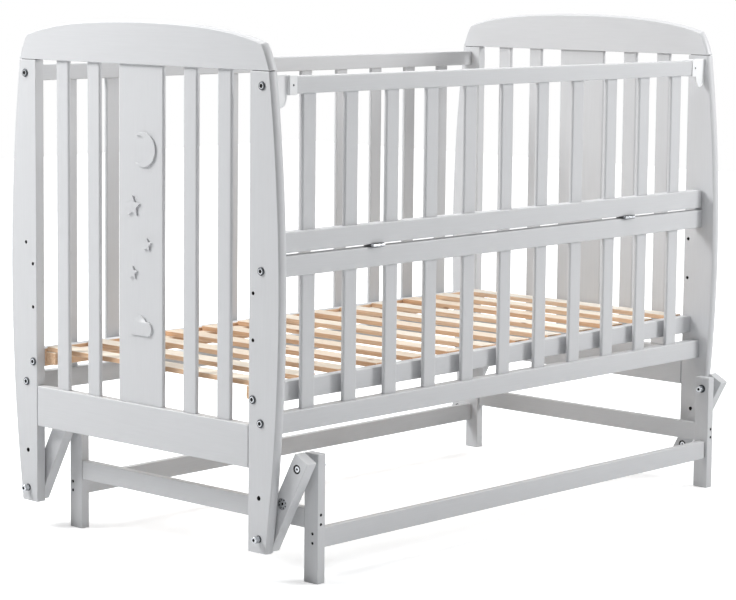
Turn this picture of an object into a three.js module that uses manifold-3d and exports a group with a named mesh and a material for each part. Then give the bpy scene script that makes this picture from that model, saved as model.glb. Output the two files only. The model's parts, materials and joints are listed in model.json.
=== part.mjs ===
// A child's crib that hangs on four short swing arms above a low floor frame.
// The crib is grey painted board, with a folding gate at the front and a slatted pine deck.
// Lengths are millimetres. X runs along the crib, Y across it (the gate is at -Y), Z is up.
// The crib is shown swung back, so the whole thing is centred on the floor below its box.

import * as THREE from 'three';
import { mergeVertices } from 'three/addons/utils/BufferGeometryUtils.js';
import Module from 'manifold-3d';

const wasm = await Module();
wasm.setup();

// Fits shared by every joint of the wood
const jointGap = 0.3;
const arris = 1.5;
const overrun = 2;

// Facets of the round stretches: sides of a full circle, or steps of one curve
const roundSides = 16;
const legHoleSides = 10;
const pivotHoleSides = 12;
const screwHoleSides = 8;
const motifDiscSides = 28;
const cloudPuffSides = 20;
const legCurveSteps = 10;
const capCurveSteps = 8;
const keeperCurveSteps = 5;
const armCornerSteps = 3;
const capNutDomeSteps = 4;
const mergeTolerance = 1e-4;

// Two ends: legs, cap, bottom rail, slats and a wide panel
const bedLength = 1205;
const endBoardThickness = 19;
const endOpeningWidth = 540;
const legHeight = 800;
const legWidthAtFoot = 43;
const legWidthAtSwell = 71.5;
const legWidthAtTop = 46.5;
const legSwellHeight = 415;
const capRise = 70;
const capShoulderRise = 45.7;
const capShoulderInset = 32.5;
const endRailHeight = 73;
const endRailBottom = 140.5;
const slatWidth = 33;
const slatThickness = 8;
const panelWidth = 112.5;
const slatsEachSideOfPanel = 2;

// Raised shapes on the wide panel of the near end
const motifThickness = 3;
const moonRadius = 30;
const starRadius = 19;
const smallStarRadius = 12;
const cloudRadius = 17;

// Two long sides: a fixed back, a fixed lower front and the folding gate above it
const sideFaceOffset = 42;
const sideRailThickness = 22;
const sideRailHeight = 35;
const sideBottomRailBottom = 198.5;
const sideTopDrop = 10;
const topRailHeight = 29;
const lowerFrontHeight = 494.5;
const gateSeam = 4.5;
const sideSlatCount = 11;
const gateEndPlay = 4.5;

// Hinges of the gate, with their leaves in the seam
const hingeLength = 46;
const hingeSpacing = 714;
const knuckleRadius = 3.6;
const hingePinRadius = 1.6;
const hingePinPlay = 0.5;
const leafThickness = 1.4;
const leafWidth = 17;
const knuckleGap = 0.6;

// Plastic latch at each end of the gate's top rail: a keeper on the leg, a cap on the rail
const keeperWidth = 31.5;
const keeperHeight = 55;
const keeperDepth = 27;
const keeperRise = 3;
const keeperSetback = 3;
const keeperRim = 4.5;
const keeperRimDepth = 0.8;
const keeperEase = 3;
const keeperNotchWidth = 4.3;
const latchPlay = 1.5;
const strikeGap = 0.6;
const latchCapLength = 18.5;
const latchCapWall = 1.7;

// Bed base: two painted rails, two pine battens and the pine slats
const bedRailThickness = 20;
const bedRailHeight = 33;
const bedSideClearance = 0.5;
const lowBedLevel = 257;
const middleBedLevel = 356;
const highBedLevel = 434;
const bedBoltRise = 10;
const bedSlatCount = 13;
const bedSlatWidth = 40;
const bedSlatThickness = 11;
const bedSlatProud = 2.5;
const bedBattenWidth = 20;
const bedBattenHeight = 20;
const bedEndClearance = 2;

// Swing frame on the floor
const postHeight = 219;
const postThickness = 18;
const postWidth = 31.5;
const frameRailHeight = 34;
const frameRailThickness = 14;
const frontRailSetback = 5;
const backRailSetback = 0.7;
const endRailSetback = 0.5;
const longRailBottom = 59;
const endRailRise = 32.5;
const screwHoleRadius = 2.2;
const screwHoleDepth = 6;
const screwHoleSpacing = 16;

// Swing arms and their pivots
const armThickness = 22;
const armWidth = 33;
const armEndLength = 21;
const armCornerRadius = 3;
const pivotSpacing = 140;
const pivotDrop = 22.2;
const legPivotHeight = 24.2;
const legPivotInset = 25;
const restTiltDegrees = 27.8;
const legToArmGap = 3.5;
const armToPostGap = 12.5;

// Pivot bolts, their spacers and cap nuts, and the plain holes in the wood
const pivotBoltRadius = 3;
const pivotHolePlay = 0.7;
const fixedHolePlay = 0.4;
const boltHeadRadius = 5.2;
const boltHeadHeight = 5;
const headSeatPlay = 2.7;
const spacerRadius = 7;
const washerThickness = 1.4;
const legWasherRadius = 6.5;
const postWasherRadius = 8;
const capNutRadius = 5.4;
const capNutBarrel = 5.6;
const capNutDome = 5;
const boltHoleRadius = 3.2;
const lockHoleRise = 69;
const lockHoleRadius = 3.4;
const lockNutRadius = 10;
const lockNutSeatDepth = 1.6;
const railBoltInset = 14;
const middleBoltDrop = 22.5;
const lowerBoltRise = 20.5;

// Sizes worked out from the ones above
const restTilt = THREE.MathUtils.degToRad(restTiltDegrees);
const halfOpening = endOpeningWidth / 2;
const innerEndX = bedLength / 2;
const outerEndX = innerEndX + endBoardThickness;
const sideOuterY = halfOpening + sideFaceOffset;
const sideInnerY = sideOuterY - sideRailThickness;
const sideTopHeight = legHeight - sideTopDrop;
const pivotHalfSpan = halfOpening + legPivotInset;
const armOuterX = innerEndX - legToArmGap;
const armInnerX = armOuterX - armThickness;
const postOuterX = armInnerX - armToPostGap;
const postInnerX = postOuterX - postThickness;
const upperPivotHeight = postHeight - pivotDrop;
const swingOffsetY = pivotSpacing * Math.sin(restTilt);
const cribFloorGap = upperPivotHeight - pivotSpacing * Math.cos(restTilt) - legPivotHeight;
const slatPlaneX = (endBoardThickness - slatThickness) / 2;
const bedRailOuterY = sideInnerY - bedSideClearance;
const bedRailInnerY = bedRailOuterY - bedRailThickness;
const bedRailBottom = lowBedLevel - bedBoltRise;
const bedRailTop = bedRailBottom + bedRailHeight;
const gateBottom = lowerFrontHeight + gateSeam;
const gateHingeY = -(sideOuterY + knuckleRadius);
const gateHingeZ = lowerFrontHeight + gateSeam / 2;

const grey = { color: 0xc9cccf, roughness: 0.45, metalness: 0 };
const pine = { color: 0xe8c79a, roughness: 0.6, metalness: 0 };
const whitePlastic = { color: 0xf4f5f6, roughness: 0.35, metalness: 0 };
const zinc = { color: 0xb9bcc0, roughness: 0.3, metalness: 1 };

// Turns a closed geometry into a solid that can be cut and joined
function solidOf(geometry) {
  const bare = geometry.index ? geometry.toNonIndexed() : geometry.clone();
  bare.deleteAttribute('normal');
  bare.deleteAttribute('uv');
  const merged = mergeVertices(bare, mergeTolerance);
  const vertProperties = new Float32Array(merged.attributes.position.array);
  const triVerts = new Uint32Array(merged.index.array);
  return new wasm.Manifold(new wasm.Mesh({ numProp: 3, vertProperties, triVerts }));
}

// Turns a solid back into a geometry
function geometryOf(solid) {
  const mesh = solid.getMesh();
  const geometry = new THREE.BufferGeometry();
  geometry.setAttribute('position', new THREE.BufferAttribute(mesh.vertProperties, 3));
  geometry.setIndex(new THREE.BufferAttribute(mesh.triVerts, 1));
  return geometry;
}

function join(first, ...others) {
  return geometryOf(others.reduce((sum, next) => sum.add(solidOf(next)), solidOf(first)));
}

function cut(body, ...tools) {
  return geometryOf(tools.reduce((rest, next) => rest.subtract(solidOf(next)), solidOf(body)));
}

// Axes of an extrusion: across, up and along its run
const runs = {
  x: [[0, 1, 0], [0, 0, 1], [1, 0, 0]],
  y: [[0, 0, 1], [1, 0, 0], [0, 1, 0]],
  z: [[1, 0, 0], [0, 1, 0], [0, 0, 1]],
};

// Extrudes a flat shape along an axis, from start to end
function prism(shape, run, start, end, curveSegments = roundSides) {
  const options = { depth: end - start, bevelEnabled: false, curveSegments };
  const geometry = new THREE.ExtrudeGeometry(shape, options);
  geometry.translate(0, 0, start);
  const [across, up, along] = runs[run].map((axis) => new THREE.Vector3(...axis));
  return geometry.applyMatrix4(new THREE.Matrix4().makeBasis(across, up, along));
}

function rectangle(u0, u1, v0, v1, chamfer = 0) {
  const corners = chamfer > 0
    ? [[u0 + chamfer, v0], [u1 - chamfer, v0], [u1, v0 + chamfer], [u1, v1 - chamfer],
      [u1 - chamfer, v1], [u0 + chamfer, v1], [u0, v1 - chamfer], [u0, v0 + chamfer]]
    : [[u0, v0], [u1, v0], [u1, v1], [u0, v1]];
  return new THREE.Shape(corners.map((corner) => new THREE.Vector2(...corner)));
}

// A board with eased edges along its run: each range is [low, high]
function board(run, x, y, z, ease = arris) {
  const sections = { x: [y, z, x], y: [z, x, y], z: [x, y, z] };
  const [across, up, along] = sections[run];
  return prism(rectangle(...across, ...up, ease), run, ...along);
}

function block(x, y, z) {
  return board('z', x, y, z, 0);
}

// A round bar along X, or along Y
function barAlongX(radius, y, z, x0, x1, sides = roundSides) {
  const circle = new THREE.Shape().absarc(y, z, radius, 0, 2 * Math.PI);
  return prism(circle, 'x', x0, x1, sides / 2);
}

function barAlongY(radius, z, x, y0, y1, sides = roundSides) {
  const circle = new THREE.Shape().absarc(z, x, radius, 0, 2 * Math.PI);
  return prism(circle, 'y', y0, y1, sides / 2);
}

// A turned piece about X, from its face at x: rings are [distance from that face, radius]
function turnedAlongX(rings, x, y, z, direction) {
  const profile = [[rings[0][0], 0], ...rings, [rings[rings.length - 1][0], 0]];
  const points = profile.map(([distance, radius]) => new THREE.Vector2(radius, distance));
  const geometry = new THREE.LatheGeometry(points, roundSides);
  geometry.rotateZ(-direction * Math.PI / 2);
  return geometry.translate(x, y, z);
}

// Mirrors a geometry that was made for +X, or for +Y, to the other side
function mirrored(geometry, side, axis) {
  if (side > 0) return geometry;
  const scale = { x: [-1, 1, 1], y: [1, -1, 1] }[axis];
  const flipped = geometry.clone().scale(...scale);
  const index = flipped.index ? flipped : mergeVertices(flipped, mergeTolerance);
  const order = index.index.array;
  for (let i = 0; i < order.length; i += 3) {
    [order[i + 1], order[i + 2]] = [order[i + 2], order[i + 1]];
  }
  return index;
}

const model = new THREE.Group();
const swingFrame = new THREE.Group();
const crib = new THREE.Group();
crib.position.set(0, swingOffsetY, cribFloorGap);
model.add(swingFrame, crib);

function place(parent, name, geometry, finish) {
  const mesh = new THREE.Mesh(geometry, new THREE.MeshStandardMaterial(finish));
  mesh.name = name;
  parent.add(mesh);
  return mesh;
}

// The near end is at -X and the front, with the gate, at -Y
const ends = [['near', -1], ['far', 1]];
const sides = [['front', -1], ['back', 1]];

// Distance along Y, from the crib's middle, of the bolts into the long sides
const railBoltY = sideOuterY - railBoltInset;
const bedBoltY = (bedRailOuterY + bedRailInnerY) / 2;

// A leg swells to its widest at mid height: two parabolas that meet upright
function legOutline() {
  const foot = halfOpening + legWidthAtFoot;
  const swell = halfOpening + legWidthAtSwell;
  const top = halfOpening + legWidthAtTop;
  const shape = new THREE.Shape();
  shape.moveTo(halfOpening, 0);
  shape.lineTo(foot, 0);
  shape.quadraticCurveTo(swell, legSwellHeight / 2, swell, legSwellHeight);
  shape.quadraticCurveTo(swell, (legSwellHeight + legHeight) / 2, top, legHeight);
  shape.lineTo(halfOpening, legHeight);
  return shape;
}

// Heights of the holes in a leg: a bolt or an empty hole each
function legHoles() {
  const topBolt = sideTopHeight - topRailHeight / 2;
  const middleBolt = lowerFrontHeight - middleBoltDrop;
  const lowerBolt = sideBottomRailBottom + lowerBoltRise;
  const railHoles = [topBolt, middleBolt, lowerBolt].map((z) => [railBoltY, z, boltHoleRadius]);
  const bedLevels = [lowBedLevel, middleBedLevel, highBedLevel];
  const bedHoles = bedLevels.map((z) => [bedBoltY, z, boltHoleRadius]);
  const lockHole = [pivotHalfSpan, legPivotHeight + lockHoleRise, lockHoleRadius];
  const pivotHole = [pivotHalfSpan, legPivotHeight, pivotBoltRadius + fixedHolePlay];
  return [...railHoles, ...bedHoles, lockHole, pivotHole];
}

function leg() {
  const body = prism(legOutline(), 'x', innerEndX, outerEndX, legCurveSteps);
  const holes = legHoles().map(([y, z, radius]) => {
    return barAlongX(radius, y, z, innerEndX - overrun, outerEndX + overrun, legHoleSides);
  });
  return cut(body, ...holes);
}

// The cap carries the curve of the legs up into a shallow arch
function capOutline() {
  const base = legHeight + jointGap;
  const half = halfOpening + legWidthAtTop;
  const shoulder = half - capShoulderInset;
  const bulgeShare = 0.17;
  const liftShare = 0.875;
  const bulge = half - bulgeShare * capShoulderInset;
  const lift = base + liftShare * capShoulderRise;
  const shape = new THREE.Shape();
  shape.moveTo(-half, base);
  shape.lineTo(half, base);
  shape.quadraticCurveTo(bulge, lift, shoulder, base + capShoulderRise);
  shape.quadraticCurveTo(shoulder / 2, base + capRise, 0, base + capRise);
  shape.quadraticCurveTo(-shoulder / 2, base + capRise, -shoulder, base + capShoulderRise);
  shape.quadraticCurveTo(-bulge, lift, -half, base);
  return shape;
}

// Middle of the narrow slats, with the same gap between them all
function endSlatPlaces() {
  const free = halfOpening - panelWidth / 2 - slatsEachSideOfPanel * slatWidth;
  const gap = free / (slatsEachSideOfPanel + 1);
  const inner = panelWidth / 2 + gap + slatWidth / 2;
  return { inner, outer: inner + slatWidth + gap };
}

function endSlat(middle, width) {
  const x = [outerEndX - slatPlaneX - slatThickness, outerEndX - slatPlaneX];
  const y = [middle - width / 2, middle + width / 2];
  const z = [endRailBottom + endRailHeight + jointGap, legHeight];
  return board('z', x, y, z);
}

function buildEnd(end, side) {
  const add = (name, geometry) => place(crib, `${end}_${name}`, mirrored(geometry, side, 'x'), grey);
  const railY = [-halfOpening + jointGap, halfOpening - jointGap];
  const railZ = [endRailBottom, endRailBottom + endRailHeight];
  add('end_cap', prism(capOutline(), 'x', innerEndX, outerEndX, capCurveSteps));
  add('end_rail', board('y', [innerEndX, outerEndX], railY, railZ));
  add('end_panel', endSlat(0, panelWidth));
  sides.forEach(([name, across]) => {
    const { inner, outer } = endSlatPlaces();
    add(`leg_${name}`, mirrored(leg(), across, 'y'));
    add(`end_slat_${name}_inner`, endSlat(across * inner, slatWidth));
    add(`end_slat_${name}_outer`, endSlat(across * outer, slatWidth));
  });
}

function star(radius, y, z) {
  const innerShare = 0.5;
  const points = 5;
  const outline = [];
  for (let i = 0; i < 2 * points; i += 1) {
    const reach = i % 2 ? radius * innerShare : radius;
    const angle = Math.PI / 2 + i * Math.PI / points;
    outline.push(new THREE.Vector2(y + reach * Math.cos(angle), z + reach * Math.sin(angle)));
  }
  return new THREE.Shape(outline);
}

// A crescent is a disc with a smaller disc taken from its side
function moon(y, z) {
  const biteShare = 0.8;
  const biteOffsetShare = 0.42;
  const disc = barAlongX(moonRadius, y, z, 0, motifThickness, motifDiscSides);
  const biteY = y + biteOffsetShare * moonRadius;
  const biteRadius = biteShare * moonRadius;
  const bite = barAlongX(biteRadius, biteY, z, -overrun, motifThickness + overrun, motifDiscSides);
  return cut(disc, bite);
}

// A cloud is three puffs on a flat base
function cloud(y, z) {
  const puffShares = [[-1.05, 0.1, 0.72], [0, 0.42, 1], [1.1, 0.05, 0.66]];
  const bodies = puffShares.map(([acrossShare, upShare, sizeShare]) => {
    const puffY = y + acrossShare * cloudRadius;
    const puffZ = z + upShare * cloudRadius;
    return barAlongX(sizeShare * cloudRadius, puffY, puffZ, 0, motifThickness, cloudPuffSides);
  });
  const halfShare = 1.15;
  const half = halfShare * cloudRadius;
  const baseShare = 0.6;
  const baseZ = [z - baseShare * cloudRadius, z];
  return join(...bodies, board('x', [0, motifThickness], [y - half, y + half], baseZ));
}

// The raised shapes climb the panel in a loose zigzag, at shares of its width and clear height
function buildMotifs() {
  const face = -(outerEndX - slatPlaneX) - jointGap - motifThickness;
  const swayShare = 0.16;
  const sway = swayShare * panelWidth;
  const moonShare = 0.753;
  const starShares = [0.584, 0.475, 0.388];
  const cloudShare = 0.224;
  const panelBottom = endRailBottom + endRailHeight;
  const heightAt = (share) => panelBottom + share * (legHeight - panelBottom);
  const [starHeight, smallStarHeight, lowStarHeight] = starShares.map(heightAt);
  const stars = [[starRadius, sway, starHeight], [smallStarRadius, -sway, smallStarHeight],
    [smallStarRadius, sway, lowStarHeight]];
  const add = (name, geometry) => place(crib, name, geometry.translate(face, 0, 0), grey);
  add('motif_moon', moon(-sway / 2, heightAt(moonShare)));
  stars.forEach(([radius, y, z], i) => {
    add(`motif_star_${i + 1}`, prism(star(radius, y, z), 'x', 0, motifThickness));
  });
  add('motif_cloud', cloud(0, heightAt(cloudShare)));
}

// Slats of a long side fill the bed length with equal gaps, and are one piece with a rail
function sideSlats(y, z) {
  const gap = (bedLength - sideSlatCount * slatWidth) / (sideSlatCount + 1);
  const slats = [];
  for (let i = 0; i < sideSlatCount; i += 1) {
    const x = -innerEndX + (i + 1) * gap + i * slatWidth;
    slats.push(board('z', [x, x + slatWidth], y, z));
  }
  return slats;
}

// A panel of a long side: a top rail, and the slats with the rail that they stand in
function sidePanel(prefix, side, railLow, railHigh, slatsHigh, endPlay) {
  const half = innerEndX - endPlay;
  const y = side > 0 ? [sideInnerY, sideOuterY] : [-sideOuterY, -sideInnerY];
  const inset = (sideRailThickness - slatThickness) / 2;
  const slatY = [y[0] + inset, y[1] - inset];
  const rail = board('x', [-half, half], y, [railLow, railHigh]);
  const slats = sideSlats(slatY, [railHigh - arris - jointGap, slatsHigh - jointGap]);
  place(crib, `${prefix}_slats_and_bottom_rail`, join(rail, ...slats), grey);
  return { half, y };
}

function buildFixedSides() {
  const bottom = [sideBottomRailBottom, sideBottomRailBottom + sideRailHeight];
  const backTop = [sideTopHeight - topRailHeight, sideTopHeight];
  const frontTop = [lowerFrontHeight - sideRailHeight, lowerFrontHeight];
  const back = sidePanel('back', 1, ...bottom, backTop[0], jointGap);
  const front = sidePanel('lower_front', -1, ...bottom, frontTop[0], jointGap);
  place(crib, 'back_top_rail', board('x', [-back.half, back.half], back.y, backTop), grey);
  place(crib, 'lower_front_top_rail', board('x', [-front.half, front.half], front.y, frontTop), grey);
}

// The cap on the rail's end goes into the keeper's notch, with play
const notchFloorWidth = keeperWidth - keeperNotchWidth;
const latchCapOuterX = innerEndX - jointGap - notchFloorWidth - latchPlay;
const latchCapInnerX = latchCapOuterX - latchCapLength;
const latchCapProud = latchCapWall + jointGap;
const latchCapY = [-sideOuterY - latchCapProud, -sideInnerY + latchCapProud];
const latchCapZ = [sideTopHeight - topRailHeight - latchCapProud, sideTopHeight + latchCapProud];

function buildGate() {
  const topZ = [sideTopHeight - topRailHeight, sideTopHeight];
  const railZ = [gateBottom, gateBottom + sideRailHeight];
  const { y } = sidePanel('gate', -1, ...railZ, topZ[0], gateEndPlay);
  const half = latchCapOuterX - latchCapWall - jointGap;
  place(crib, 'gate_top_rail', board('x', [-half, half], y, topZ), grey);
}

// The cap is a sleeve with a closed outer end
function latchCap() {
  const pocketY = [latchCapY[0] + latchCapWall, latchCapY[1] - latchCapWall];
  const pocketZ = [latchCapZ[0] + latchCapWall, latchCapZ[1] - latchCapWall];
  const pocketX = [latchCapInnerX - overrun, latchCapOuterX - latchCapWall];
  const body = board('x', [latchCapInnerX, latchCapOuterX], latchCapY, latchCapZ);
  return cut(body, block(pocketX, pocketY, pocketZ));
}

// A keeper hangs below the rail in a pointed arch
function keeperOutline(inset) {
  const x0 = innerEndX - jointGap - keeperWidth + inset;
  const x1 = innerEndX - jointGap - inset;
  const top = sideTopHeight + keeperRise - inset;
  const bottom = sideTopHeight + keeperRise - keeperHeight + inset;
  const middle = (x0 + x1) / 2;
  const archShare = 0.4;
  const arch = bottom + archShare * keeperHeight;
  const bellyShare = 0.35;
  const belly = bottom + bellyShare * (arch - bottom);
  const shape = new THREE.Shape();
  shape.moveTo(top - keeperEase, x0);
  shape.lineTo(arch, x0);
  shape.quadraticCurveTo(belly, x0, bottom, middle);
  shape.quadraticCurveTo(belly, x1, arch, x1);
  shape.lineTo(top - keeperEase, x1);
  shape.quadraticCurveTo(top, x1, top, x1 - keeperEase);
  shape.lineTo(top, x0 + keeperEase);
  shape.quadraticCurveTo(top, x0, top - keeperEase, x0);
  return shape;
}

// The notch is open to the front and the top, and the wall behind it stops the gate
function keeper() {
  const front = -sideOuterY + keeperSetback;
  const body = prism(keeperOutline(0), 'y', front, front + keeperDepth, keeperCurveSteps);
  const dishFloor = front + keeperRimDepth;
  const dish = prism(keeperOutline(keeperRim), 'y', front - overrun, dishFloor, keeperCurveSteps);
  const notchX = [latchCapInnerX, latchCapOuterX + latchPlay];
  const notchY = [front - overrun, latchCapY[1] + strikeGap];
  const notchZ = [latchCapZ[0] - latchPlay, sideTopHeight + keeperRise + overrun];
  return cut(body, dish, block(notchX, notchY, notchZ));
}

function buildLatches() {
  ends.forEach(([end, side]) => {
    place(crib, `latch_cap_${end}`, mirrored(latchCap(), side, 'x'), whitePlastic);
    place(crib, `latch_keeper_${end}`, mirrored(keeper(), side, 'x'), whitePlastic);
  });
}

// A hinge has three knuckles: the middle one turns with the gate, the others carry the pin
function gateHinges() {
  const third = hingeLength / 3;
  const leafFront = -sideOuterY;
  const leafBack = leafFront + leafWidth;
  const lowerLeafZ = [lowerFrontHeight + jointGap, lowerFrontHeight + jointGap + leafThickness];
  const upperLeafZ = [gateBottom - jointGap - leafThickness, gateBottom - jointGap];
  ends.forEach(([end, side]) => {
    const middle = side * hingeSpacing / 2;
    const left = middle - hingeLength / 2;
    const right = middle + hingeLength / 2;
    const innerLeft = left + third;
    const innerRight = right - third;
    const barrel = (x0, x1) => barAlongX(knuckleRadius, gateHingeY, gateHingeZ, x0, x1);
    const neck = (x0, x1, z) => block([x0, x1], [gateHingeY, leafFront + overrun], z);
    const fixedLeaf = block([left, right], [leafFront, leafBack], lowerLeafZ);
    const pin = barAlongX(hingePinRadius, gateHingeY, gateHingeZ, left, right);
    const fixed = join(fixedLeaf, barrel(left, innerLeft - knuckleGap),
      barrel(innerRight + knuckleGap, right), neck(left, innerLeft - knuckleGap, lowerLeafZ),
      neck(innerRight + knuckleGap, right, lowerLeafZ), pin);
    const movingLeaf = block([left, right], [leafFront, leafBack], upperLeafZ);
    const moving = join(movingLeaf, barrel(innerLeft, innerRight), neck(innerLeft, innerRight, upperLeafZ));
    const bore = barAlongX(hingePinRadius + hingePinPlay, gateHingeY, gateHingeZ,
      innerLeft - overrun, innerRight + overrun);
    place(crib, `hinge_fixed_leaf_${end}`, fixed, zinc);
    place(crib, `hinge_gate_leaf_${end}`, cut(moving, bore), zinc);
  });
}

// Slats lie across two battens, which run inside the painted bed rails
function buildBed() {
  const half = innerEndX - bedEndClearance;
  const slatTop = bedRailTop + bedSlatProud;
  const slatZ = [slatTop - bedSlatThickness, slatTop];
  const slatHalfY = bedRailInnerY - jointGap;
  const battenZ = [slatZ[0] - bedBattenHeight, slatZ[0] + arris];
  const pitch = (2 * half - bedSlatWidth) / (bedSlatCount - 1);
  const pieces = sides.map(([, side]) => {
    const edges = [side * slatHalfY, side * (slatHalfY - bedBattenWidth)];
    return block([-half, half], [Math.min(...edges), Math.max(...edges)], battenZ);
  });
  for (let i = 0; i < bedSlatCount; i += 1) {
    const x = -half + i * pitch;
    pieces.push(board('y', [x, x + bedSlatWidth], [-slatHalfY, slatHalfY], slatZ));
  }
  place(crib, 'bed_slats_and_battens', join(...pieces), pine);
  sides.forEach(([name, side]) => {
    const y = side > 0 ? [bedRailInnerY, bedRailOuterY] : [-bedRailOuterY, -bedRailInnerY];
    const x = [-innerEndX + jointGap, innerEndX - jointGap];
    place(crib, `bed_rail_${name}`, board('x', x, y, [bedRailBottom, bedRailTop]), grey);
  });
}

const endRailBottomHeight = longRailBottom + endRailRise;
const longRailMiddle = longRailBottom + frameRailHeight / 2;
const endRailMiddle = endRailBottomHeight + frameRailHeight / 2;
const postOuterY = pivotHalfSpan + postWidth / 2;
const postInnerY = pivotHalfSpan - postWidth / 2;
const railSetbacks = { front: frontRailSetback, back: backRailSetback };

// A post is drilled for its pivot and, in two faces, for the screws of its rails
function post(longRailSetback) {
  const body = board('z', [postInnerX, postOuterX], [postInnerY, postOuterY], [0, postHeight]);
  const pivot = barAlongX(pivotBoltRadius + fixedHolePlay, pivotHalfSpan, upperPivotHeight,
    postInnerX - overrun, postOuterX + overrun, pivotHoleSides);
  const holes = [-1, 1].flatMap((step) => {
    const rise = step * screwHoleSpacing / 2;
    const longRailY = postOuterY - longRailSetback - frameRailThickness / 2;
    const endRailX = postOuterX - endRailSetback - frameRailThickness / 2;
    return [
      barAlongX(screwHoleRadius, longRailY, longRailMiddle + rise,
        postOuterX - screwHoleDepth, postOuterX + overrun, screwHoleSides),
      barAlongY(screwHoleRadius, endRailMiddle + rise, endRailX,
        postOuterY - screwHoleDepth, postOuterY + overrun, screwHoleSides),
    ];
  });
  return cut(body, pivot, ...holes);
}

function buildFrame() {
  const railX = [-postInnerX + jointGap, postInnerX - jointGap];
  const longRailZ = [longRailBottom, longRailBottom + frameRailHeight];
  const endX = [postOuterX - endRailSetback - frameRailThickness, postOuterX - endRailSetback];
  const endY = [-postInnerY + jointGap, postInnerY - jointGap];
  const endZ = [endRailBottomHeight, endRailBottomHeight + frameRailHeight];
  const endRail = board('y', endX, endY, endZ);
  sides.forEach(([name, side]) => {
    const railOuterY = postOuterY - railSetbacks[name];
    const longRail = board('x', railX, [railOuterY - frameRailThickness, railOuterY], longRailZ);
    place(swingFrame, `frame_long_rail_${name}`, mirrored(longRail, side, 'y'), grey);
  });
  ends.forEach(([end, along]) => {
    place(swingFrame, `frame_end_rail_${end}`, mirrored(endRail, along, 'x'), grey);
    sides.forEach(([name, side]) => {
      const upright = mirrored(post(railSetbacks[name]), along, 'x');
      place(swingFrame, `post_${end}_${name}`, mirrored(upright, side, 'y'), grey);
    });
  });
}

// An arm is made upright, with its upper pivot at the origin of Y and Z
function armOutline() {
  const halfWidth = armWidth / 2;
  const top = armEndLength;
  const bottom = -pivotSpacing - armEndLength;
  const ease = armCornerRadius;
  const shape = new THREE.Shape();
  shape.moveTo(-halfWidth + ease, bottom);
  shape.lineTo(halfWidth - ease, bottom);
  shape.quadraticCurveTo(halfWidth, bottom, halfWidth, bottom + ease);
  shape.lineTo(halfWidth, top - ease);
  shape.quadraticCurveTo(halfWidth, top, halfWidth - ease, top);
  shape.lineTo(-halfWidth + ease, top);
  shape.quadraticCurveTo(-halfWidth, top, -halfWidth, top - ease);
  shape.lineTo(-halfWidth, bottom + ease);
  shape.quadraticCurveTo(-halfWidth, bottom, -halfWidth + ease, bottom);
  return shape;
}

// A front arm takes the lock bolt's nut in its outer face, a back arm in its inner face
function arm(name) {
  const holeRadius = pivotBoltRadius + pivotHolePlay;
  const seatRadius = boltHeadRadius + headSeatPlay;
  const seatDepth = boltHeadHeight + 2 * jointGap;
  const outerSeat = (depth) => [armOuterX - depth, armOuterX + overrun];
  const innerSeat = (depth) => [armInnerX - overrun, armInnerX + depth];
  const through = [armInnerX - overrun, armOuterX + overrun];
  const lockZ = lockHoleRise - pivotSpacing;
  const lockSeat = name === 'front' ? outerSeat(lockNutSeatDepth) : innerSeat(lockNutSeatDepth);
  const body = prism(armOutline(), 'x', armInnerX, armOuterX, armCornerSteps);
  return cut(body, barAlongX(holeRadius, 0, 0, ...through),
    barAlongX(holeRadius, 0, -pivotSpacing, ...through),
    barAlongX(seatRadius, 0, 0, ...outerSeat(seatDepth)),
    barAlongX(seatRadius, 0, -pivotSpacing, ...innerSeat(seatDepth)),
    barAlongX(lockNutRadius, 0, lockZ, ...lockSeat),
    barAlongX(lockHoleRadius, 0, lockZ, ...through));
}

function buildArms() {
  ends.forEach(([end, along]) => {
    sides.forEach(([name, side]) => {
      const mesh = place(swingFrame, `arm_${end}_${name}`, mirrored(arm(name), along, 'x'), grey);
      mesh.position.set(0, side * pivotHalfSpan, upperPivotHeight);
      mesh.rotation.x = restTilt;
    });
  });
}

// A pivot bolt with its spacer, washer and cap nut, as rings from the face under its head
function pivotRings(spacerStart, spacerEnd, nutSeat, washerRadius) {
  const washerStart = nutSeat + jointGap;
  const nutStart = washerStart + washerThickness;
  const domeStart = nutStart + capNutBarrel;
  const rings = [
    [-boltHeadHeight, boltHeadRadius], [0, boltHeadRadius], [0, pivotBoltRadius],
    [spacerStart + jointGap, pivotBoltRadius], [spacerStart + jointGap, spacerRadius],
    [spacerEnd - jointGap, spacerRadius], [spacerEnd - jointGap, pivotBoltRadius],
    [washerStart, pivotBoltRadius], [washerStart, washerRadius],
    [nutStart, washerRadius], [nutStart, capNutRadius],
  ];
  for (let step = 0; step < capNutDomeSteps; step += 1) {
    const angle = step / capNutDomeSteps * Math.PI / 2;
    rings.push([domeStart + capNutDome * Math.sin(angle), capNutRadius * Math.cos(angle)]);
  }
  return rings;
}

// Upper bolts hold an arm to its post, lower ones hold a leg to its arm
function buildPivots() {
  const headSeat = boltHeadHeight + jointGap;
  const armLength = armThickness - headSeat;
  const postLength = armLength + armToPostGap + postThickness;
  const legLength = armLength + legToArmGap + endBoardThickness;
  const upper = pivotRings(armLength, armLength + armToPostGap, postLength, postWasherRadius);
  const lower = pivotRings(armLength, armLength + legToArmGap, legLength, legWasherRadius);
  ends.forEach(([end, along]) => {
    sides.forEach(([name, side]) => {
      const y = side * pivotHalfSpan;
      const upperBolt = turnedAlongX(upper, armOuterX - headSeat, y, upperPivotHeight, -1);
      const lowerBolt = turnedAlongX(lower, armInnerX + headSeat, y, legPivotHeight, 1);
      place(swingFrame, `upper_pivot_${end}_${name}`, mirrored(upperBolt, along, 'x'), zinc);
      place(crib, `lower_pivot_${end}_${name}`, mirrored(lowerBolt, along, 'x'), zinc);
    });
  });
}

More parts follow.
